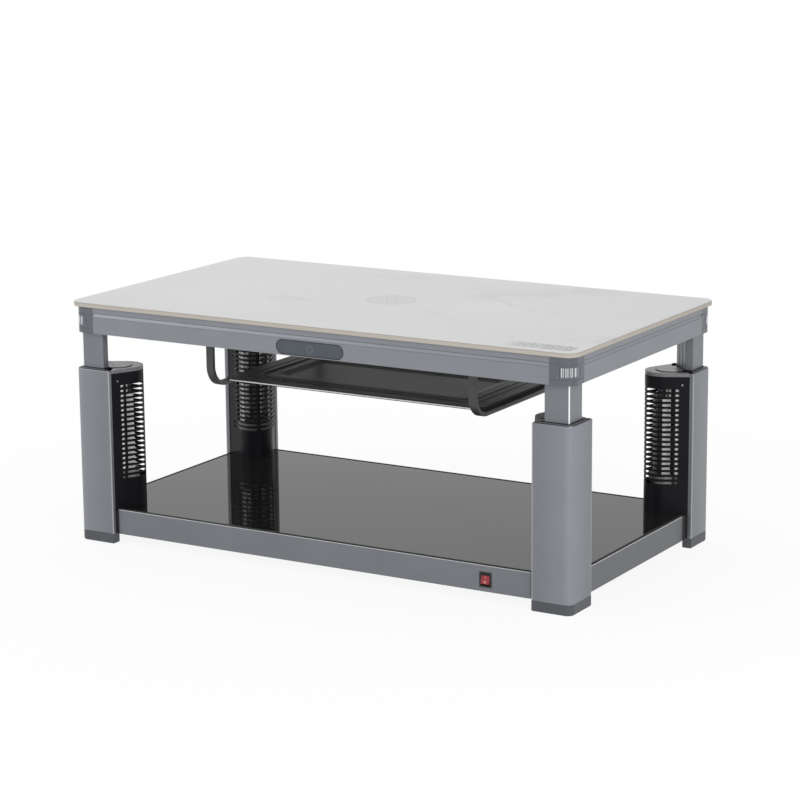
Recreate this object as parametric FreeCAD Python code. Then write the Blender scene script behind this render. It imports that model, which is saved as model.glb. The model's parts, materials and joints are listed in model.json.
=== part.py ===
import FreeCAD, Part
import math
import os

# Electric heated table with a lifting top. Four corner legs telescope: an outer casing stands on the
# base, and an inner column carries the top. Each leg hides a lifting drive, and a quartz heater sits
# behind a slotted round guard on the leg's inner side. The base holds a glass shelf, and a tray hangs
# on two bent bars under the top.
# Millimetres, +Z up. The origin is on the floor, under the middle of the top. +X runs along the
# length and -Y is the front, where the touch panel and the mains switch are.
# A leg is drawn with x and y measured inward from its outer corner, and then put at its corner.

# Driving dimensions of the whole table
TOP_LENGTH = 1380.0
TOP_DEPTH = 760.0
TABLE_HEIGHT = 603.0
LIFT_UP = 156.0
LIFT_DOWN = 85.0

# Clearances and the cutters' overrun
SEAT_GAP = 0.3
SLIDE_GAP = 0.5
BEARING_GAP = 0.05
OVERRUN = 20.0

# Stone top
STONE_THICK = 12.0
STONE_CORNER = 30.0
STONE_ARRIS = 2.0
STONE_OVERHANG = 7.0

# Aprons: hollow profiles with two shadow grooves and a sloping band between them
APRON_HEIGHT = 65.0
APRON_WALL = 2.5
BAND_HEIGHT = 14.4
GROOVE_WIDTH = 1.2
GROOVE_DEPTH = 3.0
SLOPE_HEIGHT = 8.0
SLOPE_INSET = 1.6
FINE_GROOVE_WIDTH = 0.8
FINE_GROOVE_DEPTH = 1.0
GROOVE_WEB = 2.0

# Corner brackets
BRACKET_ARM = 58.0
BRACKET_CORNER = 30.0
BRACKET_NOTCH_DEPTH = 1.0
BRACKET_NOTCH_WIDTH = 1.4
BRACKET_NOTCH_DROP = 16.4
BRACKET_LOW_NOTCH_RISE = 12.0
FLUTE_COUNT = 7
FLUTE_REACH_FRONT = 40.0
FLUTE_REACH_SIDE = 43.0
FLUTE_WIDTH = 7.4
FLUTE_DEPTH = 1.8
FLUTE_RISE = 15.6
FLUTE_HEIGHT = 28.1

# Leg casings
CASING_ARM = 100.5
CASING_WALL = 2.5
CASING_CORNER = 18.0
CASING_BEVEL = 1.5
LIP_DEPTH = 11.0

# Feet
FOOT_HEIGHT = 25.0
FOOT_WIDTH = 24.0
FOOT_CHAMFER = 2.0
FOOT_PLUG_HEIGHT = 7.0

# Inner columns
COLUMN_INSET = 13.9
COLUMN_WIDTH = 62.3
COLUMN_CHAMFER = 43.0
COLUMN_WALL = 3.0
COLUMN_SHOWN = 90.0
COLUMN_CLEARANCE = 5.0
KEYWAY_WIDTH = 4.0
KEYWAY_DEPTH = 1.5

# Collar at the top of a casing, and the glide shoe at the bottom of a column
COLLAR_THICK = 10.0
COLLAR_PROUD = 1.0
COLLAR_BAND = 3.0
COLLAR_DISC_CENTRE = 74.2
COLLAR_DISC_RADIUS = 35.0
GUIDE_HEIGHT = 40.0
GUIDE_ARM = 78.0
SHOE_HEIGHT = 30.0
SHOE_ARM = 70.0

# Heater guard, its cap and what it covers
GUARD_CENTRE = 77.4
GUARD_RADIUS = 57.0
GUARD_SIDE = 99.5
GUARD_WALL = 1.2
CAP_THICK = 9.0
CAP_PROUD = 1.5
SLOT_PITCH = 12.1
SLOT_HEIGHT = 5.8
SLOT_DROP = 33.5
SLOT_FOOT = 72.0
SLOT_FROM_DEG = 5.0
SLOT_SPAN_DEG = 17.0
TERMINAL_HEIGHT = 68.0
SOCKET_HEIGHT = 24.0
SOCKET_SIDE = 96.0
SOCKET_NEAR = 16.0
SOCKET_SHOULDER = 27.0
SOCKET_FAR = 124.0
SOCKET_FLANK = 62.0
SOCKET_FRONT = 84.0
TUBE_CENTRE = 88.0
TUBE_RADIUS = 6.0
REFLECTOR_NEAR = 56.0
REFLECTOR_FOLD = 84.0
REFLECTOR_FAR = 112.0
REFLECTOR_WALL = 0.8

# Lifting drive inside each leg: a closed housing with its motor and screw, and the rod that it pushes
DRIVE_CENTRE = 35.0
DRIVE_PLATE_THICK = 5.0
DRIVE_WIDTH = 32.0
DRIVE_MOTOR_HEIGHT = 60.0
DRIVE_WALL = 3.0
ROD_WIDTH = 25.0
ROD_GRIP = 44.0
ROD_HEAD_DROP = 61.0
ROD_HEAD_THICK = 10.0

# Base: four rails with a lip round the glass, their end connectors, the pan and the glass
RAIL_INSET = 13.0
RAIL_LOW = 24.0
RAIL_TOP = 86.0
RAIL_WIDTH = 24.0
RAIL_WALL = 2.5
RAIL_LIP = 3.0
LONG_CONNECTOR = 8.0
SHORT_CONNECTOR = 25.0
CONNECTOR_INSET = 1.0
CONNECTOR_TONGUE = 8.5
GLASS_THICK = 6.0
GLASS_PROUD = 1.0
GLASS_EDGE_GAP = 1.0
GLASS_CORNER_GAP = 2.0
PAN_SHEET = 1.5
PAN_RIB_COUNT = 3
PAN_RIB_WIDTH = 60.0
PAN_RIB_HEIGHT = 18.0

# Mains switch in the front rail
SWITCH_INSET = 116.5
SWITCH_WIDTH = 31.0
SWITCH_HEIGHT = 36.0
SWITCH_FLANGE = 1.5
SWITCH_BODY_WIDTH = 27.0
SWITCH_BODY_HEIGHT = 32.0
SWITCH_BODY_DEPTH = 16.0
SWITCH_CAVITY_WIDTH = 22.0
SWITCH_CAVITY_DEPTH = 14.0
ROCKER_RADIUS = 13.5
ROCKER_PIVOT_DEPTH = 5.0
ROCKER_BACK = 5.0
ROCKER_CREST = 1.0
ROCKER_BACK_SHARE = 0.8
ROCKER_TILT_DEG = 10.0
ROCKER_PIN_RADIUS = 1.5
ROCKER_PIN_LENGTH = 1.8

# Mains inlet in the rear rail
INLET_X = 0.0
INLET_WIDTH = 34.0
INLET_HEIGHT = 27.0
INLET_FLANGE = 2.0
INLET_BODY_WIDTH = 28.0
INLET_BODY_HEIGHT = 20.0
INLET_BODY_DEPTH = 19.0
INLET_WALL = 2.0
INLET_KEY = 4.5
INLET_FLOOR = 3.0
BLADE_PITCH = 7.0
BLADE_RAISE = 2.0
BLADE_WIDTH = 2.0
BLADE_HEIGHT = 4.0
BLADE_SHORT = 4.0

# Frame of square tubes under the stone
FRAME_TUBE_HEIGHT = 38.0
FRAME_TUBE_WALL = 2.0
CROSS_TUBE_WIDTH = 25.0

# Touch panel in the front apron
PANEL_LENGTH = 186.0
PANEL_HEIGHT = 36.0
PANEL_RISE = 20.0
PANEL_RECESS = 0.3

# Control box under the stone
CONTROL_LENGTH = 220.0
CONTROL_DEPTH = 90.0
CONTROL_HEIGHT = 28.0
CONTROL_EDGE = 4.0

# Tray and the two bent bars that it lies on
HANGER_X = 365.0
HANGER_WIDTH = 20.0
HANGER_THICK = 10.0
HANGER_REACH = 254.0
HANGER_DROP = 159.6
HANGER_BEND = 55.0
EAR_LENGTH = 26.0
EAR_THICK = 5.0
TRAY_LENGTH = 720.0
TRAY_DEPTH = 396.0
TRAY_LIP = 8.0
TRAY_SHEET = 1.2
TRAY_STEP = 1.6
TRAY_STEP_INSET = 58.0
TRAY_WELL_INSET = 88.0
TRAY_CORNER = 14.0
TRAY_WELL_CORNER = 28.0

# Places worked out from the driving dimensions
CORNER_X = TOP_LENGTH / 2 - STONE_OVERHANG
CORNER_Y = TOP_DEPTH / 2 - STONE_OVERHANG
STONE_LOW = TABLE_HEIGHT - STONE_THICK
APRON_LOW = STONE_LOW - APRON_HEIGHT
COLUMN_FAR = COLUMN_INSET + COLUMN_WIDTH
COLUMN_NEAR = COLUMN_FAR - COLUMN_CHAMFER
COLUMN_BOTTOM = FOOT_HEIGHT + DRIVE_PLATE_THICK + COLUMN_CLEARANCE + LIFT_DOWN
CASING_TOP = APRON_LOW - COLUMN_SHOWN
COLLAR_TOP = CASING_TOP + COLLAR_PROUD
GUARD_TOP = CASING_TOP - CAP_THICK
GLASS_TOP = RAIL_TOP + GLASS_PROUD
GLASS_LOW = GLASS_TOP - GLASS_THICK
TERMINAL_TOP = GLASS_TOP + TERMINAL_HEIGHT
TUBE_LOW = TERMINAL_TOP + SOCKET_HEIGHT
TUBE_HIGH = GUARD_TOP - SOCKET_HEIGHT
FRAME_LOW = STONE_LOW - FRAME_TUBE_HEIGHT
HANGER_LOW = FRAME_LOW - HANGER_DROP
ROD_BOTTOM = FOOT_HEIGHT + DRIVE_PLATE_THICK + DRIVE_MOTOR_HEIGHT + COLUMN_CLEARANCE + LIFT_DOWN
DRIVE_TOP = ROD_BOTTOM + LIFT_UP + ROD_GRIP
ROD_HEAD = STONE_LOW - ROD_HEAD_DROP
SWITCH_X = CORNER_X - CASING_ARM - LONG_CONNECTOR - SWITCH_INSET

LEGS = {"front_left": (-1, -1), "front_right": (1, -1), "rear_left": (-1, 1), "rear_right": (1, 1)}
UP = FreeCAD.Vector(0, 0, 1)
ORIGIN = FreeCAD.Vector(0, 0, 0)


def vec(x, y, z):
    return FreeCAD.Vector(x, y, z)


def box(low, high):
    """Box between its lowest and its highest corner."""
    size = [b - a for a, b in zip(low, high)]
    return Part.makeBox(size[0], size[1], size[2], vec(*low))


def prism(points, low, high):
    """Upright solid on a closed outline of corner points."""
    corners = [vec(x, y, low) for x, y in points]
    return Part.Face(Part.makePolygon(corners + corners[:1])).extrude(UP * (high - low))


def tube(points, holes, along):
    """Solid drawn along a direction from an outline with holes, all given as 3-D points."""
    outline = Part.Face(Part.makePolygon(points + points[:1]))
    for hole in holes:
        outline = outline.cut(Part.Face(Part.makePolygon(hole + hole[:1])))
    return outline.Faces[0].extrude(along)


def post(centre, radius, low, high):
    """Upright round solid."""
    return Part.makeCylinder(radius, high - low, vec(centre[0], centre[1], low), UP)


def rounded_plate(half_x, half_y, radius, low, high):
    """Plate about the origin with four round corners."""
    plate = box((-half_x, -half_y, low), (half_x, half_y, high))
    corners = [e for e in plate.Edges if abs(e.tangentAt(e.FirstParameter).z) > 0.5]
    return plate.makeFillet(radius, corners)


def rounded_corner(inset, radius, far, low, high):
    """Square block from a leg's outer corner, set in by inset, with its outer edge rounded."""
    block = box((inset, inset, low), (far, far, high))
    edges = [e for e in block.Edges if is_outer_edge(e, inset)]
    return block.makeFillet(radius - inset, edges)


def is_outer_edge(edge, inset):
    """True for the upright edge at the corner (inset, inset)."""
    middle = edge.CenterOfMass
    upright = abs(edge.tangentAt(edge.FirstParameter).z) > 0.5
    return upright and abs(middle.x - inset) < BEARING_GAP and abs(middle.y - inset) < BEARING_GAP


def at_leg(shape, side_x, side_y):
    """Place a shape, drawn inward from an outer corner, at one of the four legs."""
    placed = shape.copy()
    placed.translate(vec(-CORNER_X, -CORNER_Y, 0))
    if side_x > 0:
        placed = placed.mirror(ORIGIN, vec(1, 0, 0))
    if side_y > 0:
        placed = placed.mirror(ORIGIN, vec(0, 1, 0))
    return placed


def at_all_legs(shape):
    """One solid at each leg, kept apart in one group."""
    return Part.makeCompound([at_leg(shape, *sides) for sides in LEGS.values()])


def both_ways(shape):
    """A shape and its reflection across the diagonal of a leg."""
    return [shape, shape.mirror(ORIGIN, vec(1, -1, 0))]


def stone_top():
    """Slab with round corners and bevelled arrises."""
    slab = rounded_plate(TOP_LENGTH / 2, TOP_DEPTH / 2, STONE_CORNER, STONE_LOW, TABLE_HEIGHT)
    rim = [e for e in slab.Edges if abs(e.tangentAt(e.FirstParameter).z) < 0.5]
    return slab.makeChamfer(STONE_ARRIS, rim)


def apron_section():
    """Outline of an apron and its two chambers, as (depth, height) pairs."""
    band_low = STONE_LOW - BAND_HEIGHT
    slope_top = band_low - GROOVE_WIDTH
    slope_low = slope_top - SLOPE_HEIGHT
    main_top = slope_low - FINE_GROOVE_WIDTH
    outline = [(0, APRON_LOW), (0, main_top), (FINE_GROOVE_DEPTH, main_top), (FINE_GROOVE_DEPTH, slope_low),
               (0, slope_low), (SLOPE_INSET, slope_top), (GROOVE_DEPTH, slope_top), (GROOVE_DEPTH, band_low),
               (0, band_low), (0, STONE_LOW), (COLUMN_INSET, STONE_LOW), (COLUMN_INSET, APRON_LOW)]
    near = APRON_WALL
    far = COLUMN_INSET - APRON_WALL
    low_chamber = [(near, APRON_LOW + APRON_WALL), (near, main_top - GROOVE_WEB),
                   (far, main_top - GROOVE_WEB), (far, APRON_LOW + APRON_WALL)]
    high_chamber = [(near, band_low + GROOVE_WEB), (near, STONE_LOW - APRON_WALL),
                    (far, STONE_LOW - APRON_WALL), (far, band_low + GROOVE_WEB)]
    return outline, [low_chamber, high_chamber]


def long_profile(section, half, inset):
    """Front profile along X, from an outline of (depth, height) pairs set in by inset."""
    outline, chambers = section
    place = [vec(-half, depth + inset - CORNER_Y, height) for depth, height in outline]
    holes = [[vec(-half, depth + inset - CORNER_Y, height) for depth, height in c] for c in chambers]
    return tube(place, holes, vec(2 * half, 0, 0))


def short_profile(section, half, inset):
    """Left profile along Y, from an outline of (depth, height) pairs set in by inset."""
    outline, chambers = section
    place = [vec(depth + inset - CORNER_X, -half, height) for depth, height in outline]
    holes = [[vec(depth + inset - CORNER_X, -half, height) for depth, height in c] for c in chambers]
    return tube(place, holes, vec(0, 2 * half, 0))


def pill(length, height, middle, near, far):
    """Rounded bar that faces the front, between two depths behind the front face."""
    radius = height / 2
    straight = length / 2 - radius
    depth = far - near
    front = near - CORNER_Y
    bar = box((-straight, front, middle - radius), (straight, front + depth, middle + radius))
    ends = [Part.makeCylinder(radius, depth, vec(x, front, middle), vec(0, 1, 0)) for x in (-straight, straight)]
    return bar.multiFuse(ends).removeSplitter()


def front_apron():
    """Front profile with the opening for the touch panel."""
    apron = long_profile(apron_section(), CORNER_X - BRACKET_ARM, 0)
    inner_wall = COLUMN_INSET - APRON_WALL
    return apron.cut(pill(PANEL_LENGTH, PANEL_HEIGHT, APRON_LOW + PANEL_RISE, -OVERRUN, inner_wall))


def rear_apron():
    return long_profile(apron_section(), CORNER_X - BRACKET_ARM, 0).mirror(ORIGIN, vec(0, 1, 0))


def side_aprons():
    left = short_profile(apron_section(), CORNER_Y - BRACKET_ARM, 0)
    return {"apron_left": left, "apron_right": left.mirror(ORIGIN, vec(1, 0, 0))}


def control_panel():
    """Touch panel that lies on the apron's inner wall and closes the opening."""
    seat = COLUMN_INSET - APRON_WALL
    middle = APRON_LOW + PANEL_RISE
    return pill(PANEL_LENGTH - 2 * SEAT_GAP, PANEL_HEIGHT - 2 * SEAT_GAP, middle, PANEL_RECESS, seat)


def flute_place(share):
    """Point and outward direction on a bracket's outline, from its front reach to its side reach."""
    front = FLUTE_REACH_FRONT - BRACKET_CORNER
    turn = math.pi / 2 * BRACKET_CORNER
    side = FLUTE_REACH_SIDE - BRACKET_CORNER
    run = share * (front + turn + side)
    if run < front:
        return (FLUTE_REACH_FRONT - run, 0), (0, -1)
    if run < front + turn:
        angle = (run - front) / BRACKET_CORNER
        outward = (-math.sin(angle), -math.cos(angle))
        return tuple(BRACKET_CORNER + BRACKET_CORNER * part for part in outward), outward
    return (0, BRACKET_CORNER + run - front - turn), (-1, 0)


def flute_cutters():
    """Grooves with sloping sides, spread along the bracket's outline."""
    low = APRON_LOW + FLUTE_RISE
    cutters = []
    for index in range(FLUTE_COUNT):
        point, outward = flute_place((index + 0.5) / FLUTE_COUNT)
        along = (-outward[1], outward[0])
        corners = []
        for depth, half in ((FLUTE_DEPTH, FLUTE_WIDTH / 4), (-FLUTE_DEPTH, FLUTE_WIDTH * 3 / 4)):
            for side in (-half, half) if depth > 0 else (half, -half):
                corners.append([p - depth * o + side * a for p, o, a in zip(point, outward, along)])
        cutters.append(prism(corners, low, low + FLUTE_HEIGHT))
    return cutters


def corner_bracket():
    """Fluted corner piece that wraps the top of a column."""
    body = rounded_corner(0, BRACKET_CORNER, BRACKET_ARM, APRON_LOW, STONE_LOW)
    inside = box((COLUMN_INSET, COLUMN_INSET, APRON_LOW), (BRACKET_ARM, BRACKET_ARM, STONE_LOW))
    cutters = [inside] + flute_cutters()
    for low in (STONE_LOW - BRACKET_NOTCH_DROP - BRACKET_NOTCH_WIDTH, APRON_LOW + BRACKET_LOW_NOTCH_RISE):
        high = low + BRACKET_NOTCH_WIDTH
        slab = box((-OVERRUN, -OVERRUN, low), (BRACKET_ARM, BRACKET_ARM, high))
        keep = rounded_corner(BRACKET_NOTCH_DEPTH, BRACKET_CORNER, BRACKET_ARM, low, high)
        cutters.append(slab.cut(keep))
    return body.cut(cutters)


def top_frame():
    """Six square tubes that stand between the columns and under the stone."""
    wide = COLUMN_NEAR - COLUMN_INSET
    long_half = CORNER_X - COLUMN_FAR
    short_half = CORNER_Y - COLUMN_FAR
    front = long_profile(tube_section(wide), long_half, COLUMN_INSET)
    left = short_profile(tube_section(wide), short_half, COLUMN_INSET)
    cross_half = CORNER_Y - COLUMN_NEAR
    cross_inset = CORNER_X - HANGER_X - CROSS_TUBE_WIDTH / 2
    cross = short_profile(tube_section(CROSS_TUBE_WIDTH), cross_half, cross_inset)
    tubes = [front, front.mirror(ORIGIN, vec(0, 1, 0))]
    for shape in (left, cross):
        tubes += [shape, shape.mirror(ORIGIN, vec(1, 0, 0))]
    return Part.makeCompound(tubes)


def tube_section(width):
    """Outline of a frame tube and its bore, as (depth, height) pairs."""
    wall = FRAME_TUBE_WALL
    outline = [(0, FRAME_LOW), (0, STONE_LOW), (width, STONE_LOW), (width, FRAME_LOW)]
    bore = [(wall, FRAME_LOW + wall), (wall, STONE_LOW - wall),
            (width - wall, STONE_LOW - wall), (width - wall, FRAME_LOW + wall)]
    return outline, [bore]


def column_outline(grow):
    """Square with its inner corner cut off, grown outward by grow on every side."""
    near = COLUMN_INSET - grow
    far = COLUMN_FAR + grow
    step = COLUMN_NEAR + grow * (math.sqrt(2) - 1)
    return [(near, near), (far, near), (far, step), (step, far), (near, far)]


def column():
    """Hollow inner column, with two keyways down its sloping face."""
    body = prism(column_outline(0), COLUMN_BOTTOM, STONE_LOW)
    hollow = prism(column_outline(-COLUMN_WALL), COLUMN_BOTTOM, STONE_LOW)
    along = COLUMN_FAR - COLUMN_NEAR
    cutters = [hollow]
    for share in (1 / 3, 2 / 3):
        middle = (COLUMN_FAR - share * along, COLUMN_NEAR + share * along)
        half = KEYWAY_WIDTH / 2 / math.sqrt(2)
        sink = KEYWAY_DEPTH / math.sqrt(2)
        corners = [(middle[0] + half, middle[1] - half), (middle[0] - half, middle[1] + half),
                   (middle[0] - sink, middle[1] - sink)]
        cutters.append(prism(corners, COLUMN_BOTTOM, STONE_LOW))
    return body.cut(cutters)


def leg_casing():
    """Bent outer shell of a leg, with a lip turned in at the end of each arm."""
    low = FOOT_HEIGHT
    body = rounded_corner(0, CASING_CORNER, CASING_ARM, low, CASING_TOP)
    rim = [e for e in body.Edges if is_bevel_edge(e)]
    body = body.makeChamfer(CASING_BEVEL, rim)
    hollow = rounded_corner(CASING_WALL, CASING_CORNER, CASING_ARM - CASING_WALL, low, CASING_TOP)
    open_side = box((LIP_DEPTH, LIP_DEPTH, low), (CASING_ARM, CASING_ARM, CASING_TOP))
    return body.cut([hollow, open_side])


def is_bevel_edge(edge):
    """True for the top edges of a casing on its two outer faces and round its corner."""
    middle = edge.CenterOfMass
    on_top = abs(middle.z - CASING_TOP) < BEARING_GAP
    return on_top and min(middle.x, middle.y) < CASING_CORNER


def foot():
    """Moulded foot that follows the casing, with a plug that stands inside it."""
    body = rounded_corner(0, CASING_CORNER, CASING_ARM, 0, FOOT_HEIGHT)
    rim = [e for e in body.Edges if abs(e.CenterOfMass.z) < BEARING_GAP]
    body = body.makeChamfer(FOOT_CHAMFER, rim)
    notch = box((FOOT_WIDTH, FOOT_WIDTH, 0), (CASING_ARM, CASING_ARM, FOOT_HEIGHT))
    near = CASING_WALL + SEAT_GAP
    plug = box((CASING_CORNER, near, FOOT_HEIGHT),
               (CASING_ARM - near, LIP_DEPTH, FOOT_HEIGHT + FOOT_PLUG_HEIGHT))
    return body.cut(notch).multiFuse(both_ways(plug))


def guard_block(grow, low, high):
    """Solid behind the guard's round wall and its two side strips, grown outward by grow."""
    radius = GUARD_RADIUS + grow
    side = GUARD_SIDE + grow
    join = GUARD_CENTRE - math.sqrt(radius ** 2 - (side - GUARD_CENTRE) ** 2)
    crest = GUARD_CENTRE + radius / math.sqrt(2)
    start = LIP_DEPTH
    corners = [vec(join, side, low), vec(start, side, low), vec(start, start, low),
               vec(side, start, low), vec(side, join, low)]
    edges = [Part.makeLine(a, b) for a, b in zip(corners, corners[1:])]
    edges.append(Part.Arc(vec(side, join, low), vec(crest, crest, low), vec(join, side, low)).toShape())
    return Part.Face(Part.Wire(edges)).extrude(UP * (high - low))


def slot_cutters():
    """Flat sectors that open one slot each, mirrored about the leg's diagonal."""
    cutters = []
    reach = GUARD_RADIUS + OVERRUN
    rows = int((GUARD_TOP - SLOT_DROP - SLOT_FOOT - GLASS_TOP) / SLOT_PITCH) + 1
    for row in range(rows):
        low = GUARD_TOP - SLOT_DROP - row * SLOT_PITCH - SLOT_HEIGHT / 2
        for first in (45 + SLOT_FROM_DEG, 45 - SLOT_FROM_DEG - SLOT_SPAN_DEG):
            sector = Part.makeCylinder(reach, SLOT_HEIGHT, ORIGIN, UP, SLOT_SPAN_DEG)
            sector.rotate(ORIGIN, UP, first)
            sector.translate(vec(GUARD_CENTRE, GUARD_CENTRE, low))
            cutters.append(sector)
    return cutters


def heater_guard():
    """Slotted sheet, round with a straight strip to each casing lip, that stands on the glass."""
    shell = guard_block(0, GLASS_TOP, GUARD_TOP).cut(guard_block(-GUARD_WALL, GLASS_TOP, GUARD_TOP))
    return shell.cut(slot_cutters())


def collar_area(grow, low, high):
    """Disc over the heater, band round the column and the pockets behind the two lips."""
    start = CASING_WALL + SEAT_GAP
    far = CASING_ARM - CASING_WALL - SEAT_GAP
    disc = post((COLLAR_DISC_CENTRE, COLLAR_DISC_CENTRE), COLLAR_DISC_RADIUS + grow, low, high)
    band = prism(column_outline(COLLAR_BAND + grow), low, high)
    strips = both_ways(box((start, start, low), (far, LIP_DEPTH, high)))
    corner = rounded_corner(start, CASING_CORNER, 2 * COLLAR_DISC_CENTRE, low, high)
    return disc.multiFuse([band] + strips).common(corner)


def leg_collar():
    """Plate round the column at the top of a casing, with two guide walls below it."""
    low = COLLAR_TOP - COLLAR_THICK
    plate = collar_area(0, low, COLLAR_TOP)
    start = CASING_WALL + SEAT_GAP
    guide = box((CASING_CORNER, start, low - GUIDE_HEIGHT), (GUIDE_ARM, COLUMN_INSET - SLIDE_GAP, low))
    passage = prism(column_outline(SLIDE_GAP), low, COLLAR_TOP)
    return plate.cut(passage).multiFuse(both_ways(guide)).removeSplitter()


def heater_cap():
    """Plate that closes the top of a guard, open round the collar."""
    return guard_block(CAP_PROUD, GUARD_TOP, CASING_TOP).cut(collar_area(SEAT_GAP, GUARD_TOP, CASING_TOP))


def column_shoes():
    """Two glides on the outer faces at the foot of a column."""
    low = COLUMN_BOTTOM
    shoe = box((CASING_CORNER, CASING_WALL + SLIDE_GAP, low), (SHOE_ARM, COLUMN_INSET, low + SHOE_HEIGHT))
    return both_ways(shoe)


def heater_block(low, high):
    """Block with flat faces inside the guard's curve."""
    half = [(SOCKET_SIDE, SOCKET_NEAR), (SOCKET_SIDE, SOCKET_SHOULDER),
            (SOCKET_FAR, SOCKET_FLANK), (SOCKET_FAR, SOCKET_FRONT)]
    return prism(half + [(y, x) for x, y in reversed(half)], low, high)


def terminal_box():
    """Closed box with the heater's terminals, on the glass under the lower socket."""
    return heater_block(GLASS_TOP, TERMINAL_TOP)


def heater_sockets():
    """Lower and upper ceramic block that hold one quartz tube."""
    return [heater_block(TERMINAL_TOP, TUBE_LOW), heater_block(TUBE_HIGH, GUARD_TOP)]


def heating_tube():
    """Quartz tube that stands between the two blocks."""
    return post((TUBE_CENTRE, TUBE_CENTRE), TUBE_RADIUS, TUBE_LOW, TUBE_HIGH)


def heat_reflector():
    """Folded sheet behind the tube, open towards the guard."""
    near = REFLECTOR_NEAR
    fold = REFLECTOR_FOLD
    far = REFLECTOR_FAR
    wall = REFLECTOR_WALL
    inner = fold + wall * (math.sqrt(2) - 1)
    outline = [(near, far), (near, fold), (fold, near), (far, near),
               (far, near + wall), (inner, near + wall), (near + wall, inner), (near + wall, far)]
    return prism(outline, TUBE_LOW, TUBE_HIGH)


def drive_block(width, low, high):
    """Square block on the drive's axis."""
    near = DRIVE_CENTRE - width / 2
    far = DRIVE_CENTRE + width / 2
    return box((near, near, low), (far, far, high))


def lift_drive():
    """Closed drive on its plate, with a square guide for the rod above the motor."""
    plate_top = FOOT_HEIGHT + DRIVE_PLATE_THICK
    edge = LIP_DEPTH + SEAT_GAP
    plate = box((edge, edge, FOOT_HEIGHT), (COLUMN_FAR, COLUMN_FAR, plate_top))
    housing = drive_block(DRIVE_WIDTH, plate_top, DRIVE_TOP)
    bore = drive_block(DRIVE_WIDTH - 2 * DRIVE_WALL, plate_top + DRIVE_MOTOR_HEIGHT, DRIVE_TOP)
    return plate.fuse(housing).cut(bore)


def lift_rod():
    """Rod in the drive's guide, with a head plate that is held inside the column."""
    rod = drive_block(ROD_WIDTH, ROD_BOTTOM, ROD_HEAD)
    return rod.fuse(prism(column_outline(-COLUMN_WALL), ROD_HEAD, ROD_HEAD + ROD_HEAD_THICK))


def rail_section():
    """Outline of a base rail, its lip and its bore, as (depth, height) pairs."""
    wall = RAIL_WALL
    outline = [(0, RAIL_LOW), (0, RAIL_TOP), (RAIL_LIP, RAIL_TOP), (RAIL_LIP, GLASS_LOW),
               (RAIL_WIDTH, GLASS_LOW), (RAIL_WIDTH, RAIL_LOW)]
    bore = [(wall, RAIL_LOW + wall), (wall, GLASS_LOW - wall),
            (RAIL_WIDTH - wall, GLASS_LOW - wall), (RAIL_WIDTH - wall, RAIL_LOW + wall)]
    return outline, [bore]


def connector_section():
    """Outline of a rail's end connector, a little smaller than the rail, as (depth, height) pairs."""
    inset = CONNECTOR_INSET
    low = RAIL_LOW + inset
    high = RAIL_TOP - inset
    return [(inset, low), (inset, high), (RAIL_LIP, high), (RAIL_LIP, GLASS_LOW),
            (RAIL_WIDTH, GLASS_LOW), (RAIL_WIDTH, low)]


def base_rails():
    """Four rails between the legs, and the connectors at their ends."""
    long_half = CORNER_X - CASING_ARM
    short_half = CORNER_Y - CASING_ARM
    front = long_profile(rail_section(), long_half - LONG_CONNECTOR, RAIL_INSET)
    rear = front.mirror(ORIGIN, vec(0, 1, 0))
    left = short_profile(rail_section(), short_half - SHORT_CONNECTOR, RAIL_INSET)
    right = left.mirror(ORIGIN, vec(1, 0, 0))
    front = front.cut(switch_opening())
    rear = rear.cut(inlet_opening())
    return {"base_rail_front": front, "base_rail_rear": rear, "base_rail_left": left, "base_rail_right": right}


def rail_connector(length):
    """End connector of a rail beside a leg, with a tongue behind the casing's lip."""
    ring = [vec(CASING_ARM, depth + RAIL_INSET, height) for depth, height in connector_section()]
    far = LIP_DEPTH + CONNECTOR_TONGUE
    tongue = box((CASING_ARM - CONNECTOR_TONGUE, LIP_DEPTH, FOOT_HEIGHT), (CASING_ARM, far, GLASS_LOW))
    return tube(ring, [], vec(length, 0, 0)).fuse(tongue).removeSplitter()


def rail_connectors():
    """Connectors at both ends of the four rails, as one group."""
    long_end = rail_connector(LONG_CONNECTOR)
    short_end = rail_connector(SHORT_CONNECTOR).mirror(ORIGIN, vec(1, -1, 0))
    return Part.makeCompound([at_leg(end, *sides) for end in (long_end, short_end) for sides in LEGS.values()])


def leg_notches(low, high):
    """Space round each column, cut out of the glass and the pan."""
    return [at_leg(prism(notch_outline(), low, high), *sides) for sides in LEGS.values()]


def notch_outline():
    """Column outline grown by a gap, and carried on past the leg's outer corner."""
    grown = column_outline(GLASS_CORNER_GAP)
    return [(0, 0), (grown[1][0], 0), grown[2], grown[3], (0, grown[4][1])]


def shelf_glass():
    """Glass shelf inside the rails' lips, notched round the columns."""
    inset = RAIL_INSET + RAIL_LIP + GLASS_EDGE_GAP
    half_x = CORNER_X - inset
    half_y = CORNER_Y - inset
    plate = box((-half_x, -half_y, GLASS_LOW), (half_x, half_y, GLASS_TOP))
    return plate.cut(leg_notches(GLASS_LOW, GLASS_TOP))


def base_pan():
    """Steel sheet under the glass, stiffened by hat ribs between the long rails."""
    half_x = CORNER_X - RAIL_INSET - RAIL_WIDTH
    half_y = CORNER_Y - RAIL_INSET - RAIL_WIDTH
    sheet_low = GLASS_LOW - PAN_SHEET
    sheet = box((-half_x, -half_y, sheet_low), (half_x, half_y, GLASS_LOW))
    pan = sheet.cut(leg_notches(sheet_low, GLASS_LOW))
    ribs = []
    for index in range(PAN_RIB_COUNT):
        centre = (index - (PAN_RIB_COUNT - 1) / 2) * 2 * half_x / (PAN_RIB_COUNT + 1)
        ribs.append(pan_rib(centre, half_y, sheet_low))
    return pan.multiFuse(ribs).removeSplitter()


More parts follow.
